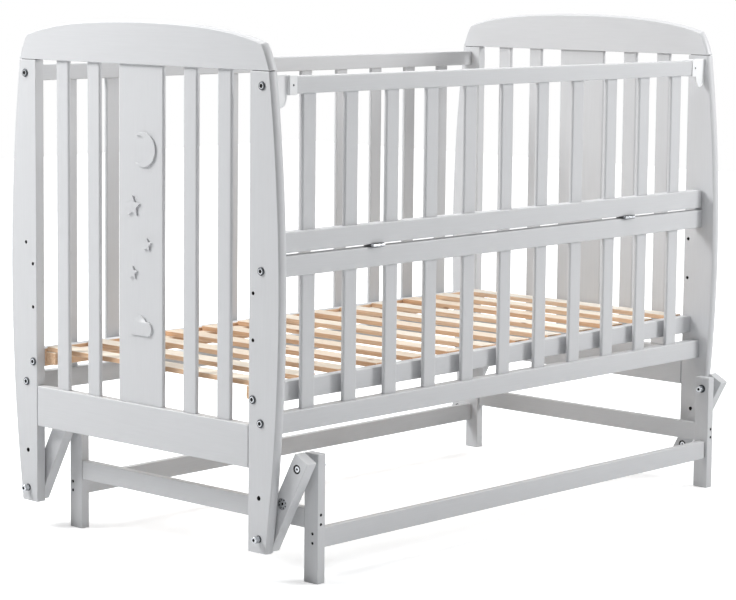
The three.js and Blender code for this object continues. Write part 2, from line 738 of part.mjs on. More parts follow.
buildFrame();
buildArms();
buildPivots();
ends.forEach(([end, side]) => buildEnd(end, side));
buildMotifs();
buildFixedSides();
buildGate();
buildLatches();
gateHinges();
buildBed();

// The origin is on the floor, below the middle of the whole box
model.updateMatrixWorld(true);
const bounds = new THREE.Box3().setFromObject(model, true);
const middle = bounds.getCenter(new THREE.Vector3());
model.position.set(-middle.x, -middle.y, -bounds.min.z);

export default model;
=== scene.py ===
"""A child's crib in grey lacquered beech that hangs on four short arms above a floor frame.

Every sub-assembly is a class. Its meshes are made in millimetres from its own datum, which is
the crib or the floor frame, and are put in the shared frame, in metres, when they are finished.
"""

import json
import logging
import math
from collections.abc import Callable, Iterable
from dataclasses import dataclass, field
from enum import Enum

import bmesh
import bpy
from mathutils import Matrix, Vector


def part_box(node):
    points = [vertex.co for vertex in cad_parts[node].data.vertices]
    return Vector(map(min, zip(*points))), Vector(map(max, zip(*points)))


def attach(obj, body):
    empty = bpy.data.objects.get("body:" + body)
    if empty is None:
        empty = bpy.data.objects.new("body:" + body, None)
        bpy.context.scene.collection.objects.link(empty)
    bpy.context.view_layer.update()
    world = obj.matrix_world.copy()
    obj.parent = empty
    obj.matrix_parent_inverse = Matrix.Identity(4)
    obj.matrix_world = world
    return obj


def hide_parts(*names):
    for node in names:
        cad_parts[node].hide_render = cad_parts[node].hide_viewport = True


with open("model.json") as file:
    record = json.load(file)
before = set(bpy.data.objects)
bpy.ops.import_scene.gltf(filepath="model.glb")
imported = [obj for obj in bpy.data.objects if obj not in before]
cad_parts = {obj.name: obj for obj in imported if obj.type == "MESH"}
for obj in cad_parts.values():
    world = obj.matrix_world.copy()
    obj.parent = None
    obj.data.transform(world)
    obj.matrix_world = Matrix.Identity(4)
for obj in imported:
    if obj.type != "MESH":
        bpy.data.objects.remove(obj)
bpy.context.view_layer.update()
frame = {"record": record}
LOG = logging.getLogger("crib")
BODY_OF = {
    node: body
    for body, nodes in frame["record"]["behaviour"]["bodies"].items()
    for node in nodes
}
ENDS = (("near", -1), ("far", 1))
SIDES = (("front", -1), ("back", 1))
Outline = list[tuple[float, float]]
MM = 0.001
# In millimetres: the play where two pieces would touch, and how close points are to be one
EXACT_FIT = 0.05
WELD = 0.001
# In millimetres: where the bolts pass through the legs, out from the middle line and up
RAIL_BOLT_LINE = 298.0
BED_BOLT_LINE = 279.5
MIDDLE_BOLT_HEIGHT = 472.0
# Facets round a turned piece, and round a small screw
ROUND_STEPS = 32
SCREW_STEPS = 20
# A face looks along an axis when its normal has more than this share of it
FACING = 0.5
# Edges that turn by less than this, in degrees, are shaded smooth
SMOOTH_TURN = 38
# Noise seldom leaves these values, so a ramp between them uses all of both colours
NOISE_REACH = (0.3, 0.7)


def linear(hex_colour: str) -> tuple[float, float, float, float]:
    """Turns an sRGB colour into linear light.

    Args:
        hex_colour: The colour as six hex digits after a hash sign.

    Returns:
        Red, green, blue and a full alpha.
    """
    parts = [int(hex_colour[i:i + 2], 16) / 255 for i in (1, 3, 5)]
    red, green, blue = (
        part / 12.92 if part <= 0.04045 else ((part + 0.055) / 1.055) ** 2.4 for part in parts
    )
    return red, green, blue, 1.0


def add_node(
    tree: bpy.types.NodeTree,
    kind: str,
    settings: dict | None = None,
    links: dict | None = None,
    stops: Iterable[tuple[float, str]] = (),
) -> bpy.types.Node:
    """Adds one shader node.

    Args:
        tree: The node tree that it goes into.
        kind: The node's type name.
        settings: Values for its properties, or for its inputs by name or number.
        links: The socket that feeds each input, by the input's name or number.
        stops: Place and sRGB colour of each stop, for a colour ramp.

    Returns:
        The new node.
    """
    node = tree.nodes.new(kind)
    for key, value in (settings or {}).items():
        if isinstance(key, str) and hasattr(node, key):
            setattr(node, key, value)
        else:
            node.inputs[key].default_value = value
    for key, socket in (links or {}).items():
        tree.links.new(socket, node.inputs[key])
    for i, (place, colour) in enumerate(stops):
        elements = node.color_ramp.elements
        stop = elements[i] if i < 2 else elements.new(place)
        stop.position = place
        stop.color = linear(colour)
    return node


def new_tree(name: str) -> tuple[bpy.types.Material, bpy.types.NodeTree, bpy.types.Node]:
    """Starts a node material.

    Args:
        name: The material's name.

    Returns:
        The material, its emptied tree and its output node.
    """
    material = bpy.data.materials.new(name)
    material.use_nodes = True
    tree = material.node_tree
    tree.nodes.clear()
    return material, tree, tree.nodes.new("ShaderNodeOutputMaterial")


class Run(Enum):
    """The axis that a board's grain runs along, or that a piece is turned about."""

    ALONG_X = 0
    ALONG_Y = 1
    ALONG_Z = 2

    def stretch(self, across_mm: float, along_mm: float) -> tuple[float, float, float]:
        """Pattern scale, per metre, of marks of a real size that lie along the run.

        Args:
            across_mm: Width of a mark.
            along_mm: Length of a mark.

        Returns:
            The scale on X, Y and Z.
        """
        scale = [1 / (across_mm * MM)] * 3
        scale[self.value] = 1 / (along_mm * MM)
        return tuple(scale)


@dataclass(frozen=True)
class Finish:
    """Base of every finish: its record slot and the material that it makes once."""

    slot: str

    def title(self) -> str:
        """The material's name."""
        return self.slot

    def build(self) -> bpy.types.Material:
        """Makes the material."""
        raise NotImplementedError

    def material(self) -> bpy.types.Material:
        """The finish's material, made on first use."""
        return bpy.data.materials.get(self.title()) or self.build()


@dataclass(frozen=True)
class GreyLacquer(Finish):
    """Pigmented satin lacquer, rolled and sanded on beech, with the grain just telegraphing."""

    run: Run = Run.ALONG_Z
    slot: str = "grey_lacquer"
    colour_low: str = "#CBCCCE"
    colour_high: str = "#CECFD1"
    roughness: float = 0.42
    coat: float = 0.12
    coat_roughness: float = 0.28
    ior: float = 1.48
    sheen_drift: float = 0.04
    relief: float = 0.6
    grain_across_mm: float = 2.2
    grain_along_mm: float = 60.0
    grain_depth_mm: float = 0.03
    # The roller's real stipple is near 1 mm, too fine to show, so it is drawn at 3 mm
    roller_mm: float = 3.0
    roller_depth_mm: float = 0.03

    def title(self) -> str:
        """The material's name, with the grain's run."""
        return f"satin_grey_lacquer_on_beech_{self.run.name.lower()}"

    def build(self) -> bpy.types.Material:
        """Makes the lacquer: to the eye a flat, cool, pale grey with a soft broad sheen.

        Returns:
            The material.
        """
        material, tree, output = new_tree(self.title())
        place = add_node(tree, "ShaderNodeTexCoord").outputs["Object"]
        stretch = self.run.stretch(self.grain_across_mm, self.grain_along_mm)
        grain_place = add_node(tree, "ShaderNodeMapping", {"Scale": stretch}, {"Vector": place})
        grain = add_node(
            tree, "ShaderNodeTexNoise", {"Scale": 1.0, "Detail": 3.0, "Roughness": 0.55},
            {"Vector": grain_place.outputs["Vector"]},
        )
        tone = add_node(
            tree, "ShaderNodeValToRGB", links={"Fac": grain.outputs["Fac"]},
            stops=zip(NOISE_REACH, (self.colour_low, self.colour_high)),
        )
        roller = add_node(
            tree, "ShaderNodeTexNoise",
            {"Scale": 1 / (self.roller_mm * MM), "Detail": 1.0}, {"Vector": place},
        )
        sheen = add_node(
            tree, "ShaderNodeMapRange",
            {
                "To Min": self.roughness - self.sheen_drift,
                "To Max": self.roughness + self.sheen_drift,
            },
            {"Value": roller.outputs["Fac"]},
        )
        peel = add_node(
            tree, "ShaderNodeBump",
            {"Strength": self.relief, "Distance": self.roller_depth_mm * MM},
            {"Height": roller.outputs["Fac"]},
        )
        relief = add_node(
            tree, "ShaderNodeBump",
            {"Strength": self.relief, "Distance": self.grain_depth_mm * MM},
            {"Height": grain.outputs["Fac"], "Normal": peel.outputs["Normal"]},
        )
        shader = add_node(
            tree, "ShaderNodeBsdfPrincipled",
            {"IOR": self.ior, "Coat Weight": self.coat, "Coat Roughness": self.coat_roughness},
            {
                "Base Color": tone.outputs["Color"],
                "Roughness": sheen.outputs["Result"],
                "Normal": relief.outputs["Normal"],
            },
        )
        tree.links.new(shader.outputs["BSDF"], output.inputs["Surface"])
        return material


@dataclass(frozen=True)
class BarePine(Finish):
    """Planed bare pine: pale and creamy on the planed tops, warmer tan on the sawn edges."""

    run: Run = Run.ALONG_Y
    slot: str = "pine"
    board_pitch_mm: float = 96.75
    roughness: float = 0.62
    ior: float = 1.45
    relief: float = 0.7
    streak_across_mm: float = 3.2
    streak_along_mm: float = 190.0
    # Pine's real resin ducts are 0.2 mm wide, too fine to show, so they are drawn coarse
    pore_mm: float = 0.9
    pore_along_mm: float = 24.0
    knot_spacing_mm: float = 115.0
    knot_narrowing: float = 0.35
    knot_rim: tuple = (0.03, 0.10)
    knot_colour: str = "#8A5A34"
    grain_depth_mm: float = 0.12
    planed_stops: tuple = ((0.3, "#E4DACC"), (0.55, "#EAE3D8"), (0.75, "#EEE9E1"))
    sawn_stops: tuple = ((0.28, "#CBA585"), (0.5, "#DCBA9B"), (0.75, "#E8CEB4"))
    board_stops: tuple = ((0.0, "#F4E6D8"), (0.5, "#FFFAF3"), (1.0, "#FFFFFF"))
    board_strength: float = 0.8
    # How flat a face has to lie to count as planed: from its edge's turn to its top
    planed_slope: tuple = (0.35, 0.9)

    def title(self) -> str:
        """The material's name, with the grain's run."""
        return f"planed_bare_pine_{self.run.name.lower()}"

    def board_tone(self, tree: bpy.types.NodeTree, place: bpy.types.NodeSocket) -> bpy.types.Node:
        """Gives each board a tone of its own, from which board it is along the crib.

        Args:
            tree: The material's tree.
            place: The object coordinates.

        Returns:
            A noise node that holds one value a board.
        """
        pitch = self.board_pitch_mm * MM
        parts = add_node(tree, "ShaderNodeSeparateXYZ", links={"Vector": place})
        count = add_node(
            tree, "ShaderNodeMath", {"operation": "MULTIPLY", 1: 1 / pitch},
            {0: parts.outputs["X"]},
        )
        number = add_node(
            tree, "ShaderNodeMath", {"operation": "ROUND"}, {0: count.outputs["Value"]}
        )
        return add_node(
            tree, "ShaderNodeTexWhiteNoise", {"noise_dimensions": "1D"},
            {"W": number.outputs["Value"]},
        )

    def build(self) -> bpy.types.Material:
        """Makes the pine: long amber streaks, a few knots, and a dry, barely shining surface.

        Returns:
            The material.
        """
        material, tree, output = new_tree(self.title())
        coordinates = add_node(tree, "ShaderNodeTexCoord")
        place = coordinates.outputs["Object"]
        streak_place = add_node(
            tree, "ShaderNodeMapping",
            {"Scale": self.run.stretch(self.streak_across_mm, self.streak_along_mm)},
            {"Vector": place},
        )
        streaks = add_node(
            tree, "ShaderNodeTexNoise", {"Scale": 1.0, "Detail": 4.0, "Distortion": 0.6},
            {"Vector": streak_place.outputs["Vector"]},
        )
        pore_place = add_node(
            tree, "ShaderNodeMapping",
            {"Scale": self.run.stretch(self.pore_mm, self.pore_along_mm)}, {"Vector": place},
        )
        pores = add_node(
            tree, "ShaderNodeTexNoise", {"Scale": 1.0, "Detail": 2.0},
            {"Vector": pore_place.outputs["Vector"]},
        )
        knot_place = add_node(
            tree, "ShaderNodeMapping",
            {"Scale": self.run.stretch(
                self.knot_spacing_mm * self.knot_narrowing, self.knot_spacing_mm,
            )},
            {"Vector": place},
        )
        knots = add_node(
            tree, "ShaderNodeTexVoronoi", {"Scale": 1.0},
            {"Vector": knot_place.outputs["Vector"]},
        )
        knot_mask = add_node(
            tree, "ShaderNodeMapRange",
            {
                "From Min": self.knot_rim[0], "From Max": self.knot_rim[1],
                "To Min": 1.0, "To Max": 0.0,
            },
            {"Value": knots.outputs["Distance"]},
        )
        planed = add_node(
            tree, "ShaderNodeValToRGB", links={"Fac": streaks.outputs["Fac"]},
            stops=self.planed_stops,
        )
        sawn = add_node(
            tree, "ShaderNodeValToRGB", links={"Fac": streaks.outputs["Fac"]},
            stops=self.sawn_stops,
        )
        upward = add_node(
            tree, "ShaderNodeSeparateXYZ", links={"Vector": coordinates.outputs["Normal"]}
        )
        flatness = add_node(
            tree, "ShaderNodeMath", {"operation": "ABSOLUTE"}, {0: upward.outputs["Z"]}
        )
        lies_flat = add_node(
            tree, "ShaderNodeMapRange",
            {"From Min": self.planed_slope[0], "From Max": self.planed_slope[1]},
            {"Value": flatness.outputs["Value"]},
        )
        wood = add_node(
            tree, "ShaderNodeMix", {"data_type": "RGBA"},
            {0: lies_flat.outputs["Result"], 6: sawn.outputs["Color"], 7: planed.outputs["Color"]},
        )
        board_value = self.board_tone(tree, place)
        board_colour = add_node(
            tree, "ShaderNodeValToRGB", links={"Fac": board_value.outputs["Value"]},
            stops=self.board_stops,
        )
        toned = add_node(
            tree, "ShaderNodeMix",
            {"data_type": "RGBA", "blend_type": "MULTIPLY", 0: self.board_strength},
            {6: wood.outputs[2], 7: board_colour.outputs["Color"]},
        )
        knotted = add_node(
            tree, "ShaderNodeMix", {"data_type": "RGBA", 7: linear(self.knot_colour)},
            {0: knot_mask.outputs["Result"], 6: toned.outputs[2]},
        )
        relief = add_node(
            tree, "ShaderNodeBump",
            {"Strength": self.relief, "Distance": self.grain_depth_mm * MM},
            {"Height": pores.outputs["Fac"]},
        )
        shader = add_node(
            tree, "ShaderNodeBsdfPrincipled", {"IOR": self.ior, "Roughness": self.roughness},
            {"Base Color": knotted.outputs[2], "Normal": relief.outputs["Normal"]},
        )
        tree.links.new(shader.outputs["BSDF"], output.inputs["Surface"])
        return material


@dataclass(frozen=True)
class Speckled(Finish):
    """A fitting's finish: one colour that drifts a little, with a fine relief of its own."""

    slot: str = "zinc_steel"
    name: str = "bright_zinc_plated_steel"
    colour_low: str = "#B4B7BB"
    colour_high: str = "#CDD0D3"
    metallic: float = 1.0
    roughness: float = 0.24
    ior: float = 1.5
    drift: float = 0.15
    relief: float = 0.5
    # Real plating and mould texture is finer than 0.1 mm, so its specks are drawn coarse
    speck_mm: float = 1.4
    relief_mm: float = 0.02

    def title(self) -> str:
        """The material's name."""
        return self.name

    def build(self) -> bpy.types.Material:
        """Makes the finish from one fine noise, which moves its tone, gloss and relief.

        Returns:
            The material.
        """
        material, tree, output = new_tree(self.title())
        place = add_node(tree, "ShaderNodeTexCoord").outputs["Object"]
        specks = add_node(
            tree, "ShaderNodeTexNoise", {"Scale": 1 / (self.speck_mm * MM), "Detail": 2.0},
            {"Vector": place},
        )
        tone = add_node(
            tree, "ShaderNodeValToRGB", links={"Fac": specks.outputs["Fac"]},
            stops=zip(NOISE_REACH, (self.colour_low, self.colour_high)),
        )
        gloss = add_node(
            tree, "ShaderNodeMapRange",
            {
                "To Min": self.roughness * (1 - self.drift),
                "To Max": self.roughness * (1 + self.drift),
            },
            {"Value": specks.outputs["Fac"]},
        )
        relief = add_node(
            tree, "ShaderNodeBump", {"Strength": self.relief, "Distance": self.relief_mm * MM},
            {"Height": specks.outputs["Fac"]},
        )
        shader = add_node(
            tree, "ShaderNodeBsdfPrincipled", {"Metallic": self.metallic, "IOR": self.ior},
            {
                "Base Color": tone.outputs["Color"],
                "Roughness": gloss.outputs["Result"],
                "Normal": relief.outputs["Normal"],
            },
        )
        tree.links.new(shader.outputs["BSDF"], output.inputs["Surface"])
        return material


# Bright zinc plate: nearly white where it faces the light, a little cloudy
ZINC = Speckled()
# Dull zinc: the pressed nuts, a middle grey without a clear reflection
DULL_ZINC = Speckled(
    name="dull_passivated_zinc_steel", colour_low="#A6A8AB", colour_high="#C2C4C7", roughness=0.5,
)
# Zinc drawn dark as painted shade and a painted dark reflection: the turned flanks, seams and
# recesses of the fittings, which read almost black
ZINC_IN_PAINTED_SHADE = Speckled(
    name="zinc_steel_in_painted_shade", colour_low="#3A3C3F", colour_high="#54575A", roughness=0.32,
)
# Painted shade, near black and with no shine, in a socket, a deep hole or on a sunk screw's head
NEAR_BLACK_PAINTED_SHADE = Speckled(
    name="painted_shade_near_black", colour_low="#08080A", colour_high="#131416", metallic=0.0,
    roughness=0.7,
)
# Painted shade in the holes and open joints of the boards: dark and dull
PAINTED_HOLE_SHADE = Speckled(
    slot="grey_lacquer", name="raw_drilled_bore", colour_low="#1B1A19", colour_high="#2B2927",
    metallic=0.0, roughness=0.85, relief_mm=0.1,
)
# Moulded white plastic: clean, with the low gloss of a lightly textured mould
WHITE_PLASTIC = Speckled(
    slot="white_plastic", name="moulded_white_plastic", colour_low="#F0F1F2",
    colour_high="#F4F5F6", metallic=0.0, roughness=0.36, ior=1.49, speck_mm=0.9,
)


@dataclass(frozen=True)
class Datum:
    """The zero point that a sub-assembly is measured from, in metres in the shared frame."""

    origin: Vector

    def span(self, node: str) -> tuple[Vector, Vector]:
        """Lowest and highest corner of a CAD node, in millimetres from this datum.

        Args:
            node: The node's name.

        Returns:
            The two corners.
        """
        low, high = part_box(node)
        return (low - self.origin) / MM, (high - self.origin) / MM

    def matrix(self) -> Matrix:
        """Takes millimetres from this datum to metres in the shared frame."""
        return Matrix.Translation(self.origin) @ Matrix.Scale(MM, 4)


def datum_between(front: str, back: str) -> Datum:
    """Makes the datum halfway between two posts or legs, at their feet.

    Args:
        front: The front one's node.
        back: The back one's node.

    Returns:
        The datum.
    """
    low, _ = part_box(front)
    _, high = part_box(back)
    return Datum(Vector((0, (low.y + high.y) / 2, low.z)))


CRIB = datum_between("near_leg_front", "near_leg_back")
FLOOR_FRAME = datum_between("post_near_front", "post_near_back")


def side_reach(span: tuple[Vector, Vector]) -> tuple[float, float]:
    """How far the near and the far face of a span lie from the middle plane, along X."""
    near, far = sorted(abs(corner.x) for corner in span)
    return near, far


def eased(bm: bmesh.types.BMesh, edges: Iterable, ease: float, segments: int = 3) -> None:
    """Rounds edges over.

    Args:
        bm: The mesh.
        edges: The edges to round.
        ease: How far back the rounding reaches, in millimetres.
        segments: Facets across the rounding.
    """
    bmesh.ops.bevel(
        bm, geom=list(edges), offset=ease, offset_type="OFFSET", segments=segments,
        profile=0.5, affect="EDGES", material=-1, clamp_overlap=True,
    )


def sharp_edges(bm: bmesh.types.BMesh, degrees: float = 30) -> list[bmesh.types.BMEdge]:
    """The edges of a closed mesh whose two faces turn by more than an angle."""
    limit = math.radians(degrees)
    return [e for e in bm.edges if len(e.link_faces) == 2 and e.calc_face_angle() > limit]


def finished(bm: bmesh.types.BMesh, index: int) -> bmesh.types.BMesh:
    """Gives the whole of a mesh one of its piece's finishes.

    Args:
        bm: The mesh.
        index: The finish's number.

    Returns:
        The same mesh.
    """
    for face in bm.faces:
        face.material_index = index
    return bm


def block(low: Vector, high: Vector) -> bmesh.types.BMesh:
    """Makes a squared block.

    Args:
        low: Lowest corner, in millimetres.
        high: Highest corner.

    Returns:
        The mesh.
    """
    bm = bmesh.new()
    bmesh.ops.create_cube(bm, size=1)
    bmesh.ops.scale(bm, vec=high - low, verts=bm.verts)
    bmesh.ops.translate(bm, vec=(low + high) / 2, verts=bm.verts)
    return bm


def board(low: Vector, high: Vector, ease: float) -> bmesh.types.BMesh:
    """Makes a planed board with all its edges eased.

    Args:
        low: Lowest corner, in millimetres.
        high: Highest corner.
        ease: Rounding of its edges.

    Returns:
        The mesh.
    """
    bm = block(low, high)
    eased(bm, bm.edges, ease)
    return bm


def round_edged(low: Vector, high: Vector, ease: float, run: Run) -> bmesh.types.BMesh:
    """Makes a slat whose long edges are well rounded and whose ends are sawn square.

    Args:
        low: Lowest corner, in millimetres.
        high: Highest corner.
        ease: Rounding of its long edges.
        run: The axis that it runs along.

    Returns:
        The mesh.
    """
    bm = block(low, high)
    reach = (high - low)[run.value] / 2
    along = [e for e in bm.edges if abs((e.verts[0].co - e.verts[1].co)[run.value]) > reach]
    eased(bm, along, ease, 6)
    return bm


def crowned(
    bm: bmesh.types.BMesh, crown: float, is_outer: Callable[[Vector], bool], strips: int = 8,
) -> None:
    """Shapes the outer edge of a board that lies across X into a shallow barrel.

    Args:
        bm: The sawn board.
        crown: How far the edge falls back at the board's two faces, in millimetres.
        is_outer: Tells from a face's normal whether it is part of the outer edge.
        strips: Strips across the edge.
    """
    start = min(v.co.x for v in bm.verts)
    thickness = max(v.co.x for v in bm.verts) - start
    for i in range(1, strips):
        bmesh.ops.bisect_plane(
            bm, geom=bm.verts[:] + bm.edges[:] + bm.faces[:], plane_no=(1, 0, 0),
            plane_co=(start + thickness * i / strips, 0, 0),
        )
    bm.normal_update()
    moves = []
    for vert in bm.verts:
        sides = [f.normal for f in vert.link_faces if abs(f.normal.x) < FACING]
        normals = [normal for normal in sides if is_outer(normal)]
        if normals:
            share = 2 * (vert.co.x - start) / thickness - 1
            moves.append((vert, -crown * share ** 2 * sum(normals, Vector()).normalized()))
    for vert, move in moves:
        vert.co += move


def curve(start: tuple, pull: tuple, end: tuple, steps: int) -> Outline:
    """Points of a quadratic curve, without its start.

    Args:
        start: Where it starts.
        pull: The point that it bends towards.
        end: Where it ends.
        steps: Number of points.

    Returns:
        The points.
    """
    points = []
    for i in range(1, steps + 1):
        t = i / steps
        weights = ((1 - t) ** 2, 2 * t * (1 - t), t * t)
        points.append(tuple(
            sum(w * p[k] for w, p in zip(weights, (start, pull, end))) for k in (0, 1)
        ))
    return points


def cut_out(
    outline: Outline,
    start: float,
    end: float,
    ease: float,
    run: Run = Run.ALONG_X,
) -> bmesh.types.BMesh:
    """Saws an outline out of a board and eases its rims.

    Args:
        outline: Points across and up the board's face.
        start: Where the board's thickness starts, along its run.
        end: Where it ends.
        ease: Rounding of its rims, or zero for none.
        run: The axis that the thickness lies along, X or Y.

    Returns:
        The mesh.
    """
    bm = bmesh.new()
    across_x = run is Run.ALONG_Y
    corners = [bm.verts.new((u, start, v) if across_x else (start, u, v)) for u, v in outline]
    face = bm.faces.new(corners)
    grown = bmesh.ops.extrude_face_region(bm, geom=[face])["geom"]
    moved = [item for item in grown if isinstance(item, bmesh.types.BMVert)]
    reach = end - start
    bmesh.ops.translate(bm, vec=(0, reach, 0) if across_x else (reach, 0, 0), verts=moved)
    bmesh.ops.recalc_face_normals(bm, faces=bm.faces)
    if ease > 0:
        eased(bm, sharp_edges(bm), ease)
    return bm


def turned(
    rings: Iterable[tuple[float, float]], steps: int = ROUND_STEPS, run: Run = Run.ALONG_X,
) -> bmesh.types.BMesh:
    """Turns a closed piece about its axis, from the origin.

    Args:
        rings: Distance along the axis and radius of each ring, the first and last on the axis.
        steps: Facets round the piece.
        run: The axis, X, Y or Z.

    Returns:
        The mesh.
    """
    bm = bmesh.new()
    axis = Vector((0, 0, 0))
    axis[run.value] = 1
    out = Vector((0, 0, 0))
    out[(run.value + 1) % 3] = 1
    points = [bm.verts.new(axis * distance + out * radius) for distance, radius in rings]
    edges = [bm.edges.new(pair) for pair in zip(points, points[1:])]
    bmesh.ops.spin(
        bm, geom=points + edges, cent=(0, 0, 0), axis=axis, angle=math.tau, steps=steps,
        use_merge=True, use_duplicate=False,
    )
    bmesh.ops.remove_doubles(bm, verts=bm.verts, dist=WELD)
    bmesh.ops.recalc_face_normals(bm, faces=bm.faces)
    return bm


def ring(inner: float, outer: float, start: float, end: float, ease: float) -> bmesh.types.BMesh:
    """Turns a sleeve or washer about X: a closed section that never meets the axis.

    Args:
        inner: Radius of its bore.
        outer: Radius outside.
        start: Where it starts along X.
        end: Where it ends.
        ease: Rounding of its outer rims.

    Returns:
        The mesh.
    """
    bm = bmesh.new()
    corners = ((start, inner), (start, outer), (end, outer), (end, inner))
    points = [bm.verts.new((x, radius, 0)) for x, radius in corners]
    edges = [bm.edges.new((points[i - 1], points[i])) for i in range(4)]
    bmesh.ops.spin(
        bm, geom=points + edges, cent=(0, 0, 0), axis=(1, 0, 0), angle=math.tau,
        steps=ROUND_STEPS, use_merge=True, use_duplicate=False,
    )
    bmesh.ops.remove_doubles(bm, verts=bm.verts, dist=WELD)
    bmesh.ops.recalc_face_normals(bm, faces=bm.faces)
    middle = (inner + outer) / 2
    eased(bm, [e for e in sharp_edges(bm) if e.verts[0].co.yz.length > middle], ease, 2)
    return bm


def rounded_end(start: float, end: float, outer: float, inner: float, steps: int) -> Outline:
    """Rings that round a turned piece from its side over to its end face.

    Args:
        start: Where the rounding starts along the axis.
        end: The end face.
        outer: Radius of the side.
        inner: Radius of the end face.
        steps: Number of rings.

    Returns:
        Distance and radius of each ring, without the first at the side.
    """
    angles = [i / steps * math.pi / 2 for i in range(1, steps + 1)]
    return [
        (start + (end - start) * math.sin(a), inner + (outer - inner) * math.cos(a)) for a in angles
    ]


def hexagon(radius: float, start: float, end: float, ease: float = 0) -> bmesh.types.BMesh:
    """A hexagonal bar along X, for nuts and for the sockets of bolts.

    Args:
        radius: Out to its corners.
        start: Where it starts along X.
        end: Where it ends.
        ease: Rounding of its edges, or zero for none.

    Returns:
        The mesh.
    """
    bm = bmesh.new()
    bmesh.ops.create_cone(
        bm, cap_ends=True, segments=6, radius1=radius, radius2=radius, depth=abs(end - start),
    )
    bmesh.ops.rotate(bm, matrix=Matrix.Rotation(math.pi / 2, 3, "Y"), verts=bm.verts)
    bmesh.ops.translate(bm, vec=((start + end) / 2, 0, 0), verts=bm.verts)
    if ease > 0:
        eased(bm, bm.edges, ease, 2)
    return bm


def tenoned(
    low: Vector, high: Vector, ease: float, run: Run, gap: float = 0.9, inset: float = 3.0,
) -> bmesh.types.BMesh:
    """Makes a rail with an open joint at each end, where its tenon shows as a dark line of painted
    shade.

    Args:
        low: Lowest corner, in millimetres.
        high: Highest corner.
        ease: Rounding of its edges.
        run: The axis that it runs along.
        gap: Width of the open joint.
        inset: How far the tenon lies below the rail's faces.

    Returns:
        The mesh.
    """
    shift, depth = Vector((0, 0, 0)), Vector((inset, inset, inset))
    shift[run.value], depth[run.value] = gap, 0
    # Painted shade: the tenon in the open joint takes the near-black lining
    tenon = finished(block(low + depth, high - depth), 1)
    return joined(board(low + shift, high - shift, ease), tenon)


def joined(*parts: bmesh.types.BMesh) -> bmesh.types.BMesh:
    """Puts several meshes in one, as loose shells.

    Args:
        parts: The meshes, which are freed.

    Returns:
        The one mesh.
    """
    whole = bmesh.new()
    for part in parts:
        mesh = bpy.data.meshes.new("part")
        part.to_mesh(mesh)
        part.free()
        whole.from_mesh(mesh)
        bpy.data.meshes.remove(mesh)
    return whole


def placed(
    bm: bmesh.types.BMesh, at: Vector | tuple = (0, 0, 0), flip: tuple = (1, 1, 1),
) -> bmesh.types.BMesh:
    """Mirrors a mesh about the origin and moves it to its place.

    Args:
        bm: The mesh, made at the origin for +X and +Y.
        at: Where its origin goes.
        flip: One or minus one for each axis.

    Returns:
        The same mesh.
    """
    bmesh.ops.scale(bm, vec=flip, verts=bm.verts)
    if flip[0] * flip[1] * flip[2] < 0:
        bmesh.ops.reverse_faces(bm, faces=bm.faces)
    bmesh.ops.translate(bm, vec=at, verts=bm.verts)
    return bm


class Cut(Enum):
    """How two solids are put together."""

    AWAY = "DIFFERENCE"
    JOINED = "UNION"


def worked(
    body: bmesh.types.BMesh, tool: bmesh.types.BMesh, how: Cut = Cut.AWAY,
) -> bmesh.types.BMesh:
    """Drills or cuts a solid by a tool, or joins the two.

    Args:
        body: The solid, which is freed.
        tool: The tool's shape, which is freed.
        how: Whether the tool is cut away or joined.

    Returns:
        A new mesh.
    """
    objects = []
    for label, bm in (("body", body), ("tool", tool)):
        mesh = bpy.data.meshes.new(label)
        bm.to_mesh(mesh)
        bm.free()
        item = bpy.data.objects.new(label, mesh)
        bpy.context.scene.collection.objects.link(item)
        objects.append(item)
    modifier = objects[0].modifiers.new("cut", "BOOLEAN")
    modifier.solver = "EXACT"
    modifier.operation = how.value
    modifier.object = objects[1]
    bpy.context.view_layer.update()
    result = objects[0].evaluated_get(bpy.context.evaluated_depsgraph_get())
    whole = bmesh.new()
    whole.from_mesh(result.to_mesh())
    result.to_mesh_clear()
    for item in objects:
        mesh = item.data
        bpy.data.objects.remove(item)
        bpy.data.meshes.remove(mesh)
    return whole


@dataclass(frozen=True)
class Bore:
    """A round hole along X, in the datum of the board that it is drilled in."""

    y: float
    z: float
    radius: float
    start: float
    end: float
    # How far past the radius a face may lie, as a share of it, and still be the hole's
    slack: float = 1.02

    def tool(self) -> bmesh.types.BMesh:
        """The drill's shape."""
        rings = ((self.start, 0), (self.start, self.radius), (self.end, self.radius), (self.end, 0))
        return placed(turned(rings), (0, self.y, self.z))

    def lines(self, face: bmesh.types.BMFace) -> bool:
        """Tells whether a face of the drilled board is the wall or the floor of this hole.

        Args:
            face: The face.

        Returns:
            True where it lies within the hole and is no larger than its floor.
        """
        middle = face.calc_center_median()
        reach = self.radius * self.slack
        floor = math.pi * reach ** 2
        return math.hypot(middle.y - self.y, middle.z - self.z) < reach and face.calc_area() < floor


def drilled(body: bmesh.types.BMesh, bores: list[Bore]) -> bmesh.types.BMesh:
    """Drills a board, and gives the walls of its holes the second finish, the painted shade of the
    bore.

    Args:
        body: The board's mesh, which is freed.
        bores: The holes.

    Returns:
        The drilled mesh.
    """
    whole = worked(body, joined(*(bore.tool() for bore in bores)))
    for face in whole.faces:
        if any(bore.lines(face) for bore in bores):
            face.material_index = 1
    return whole


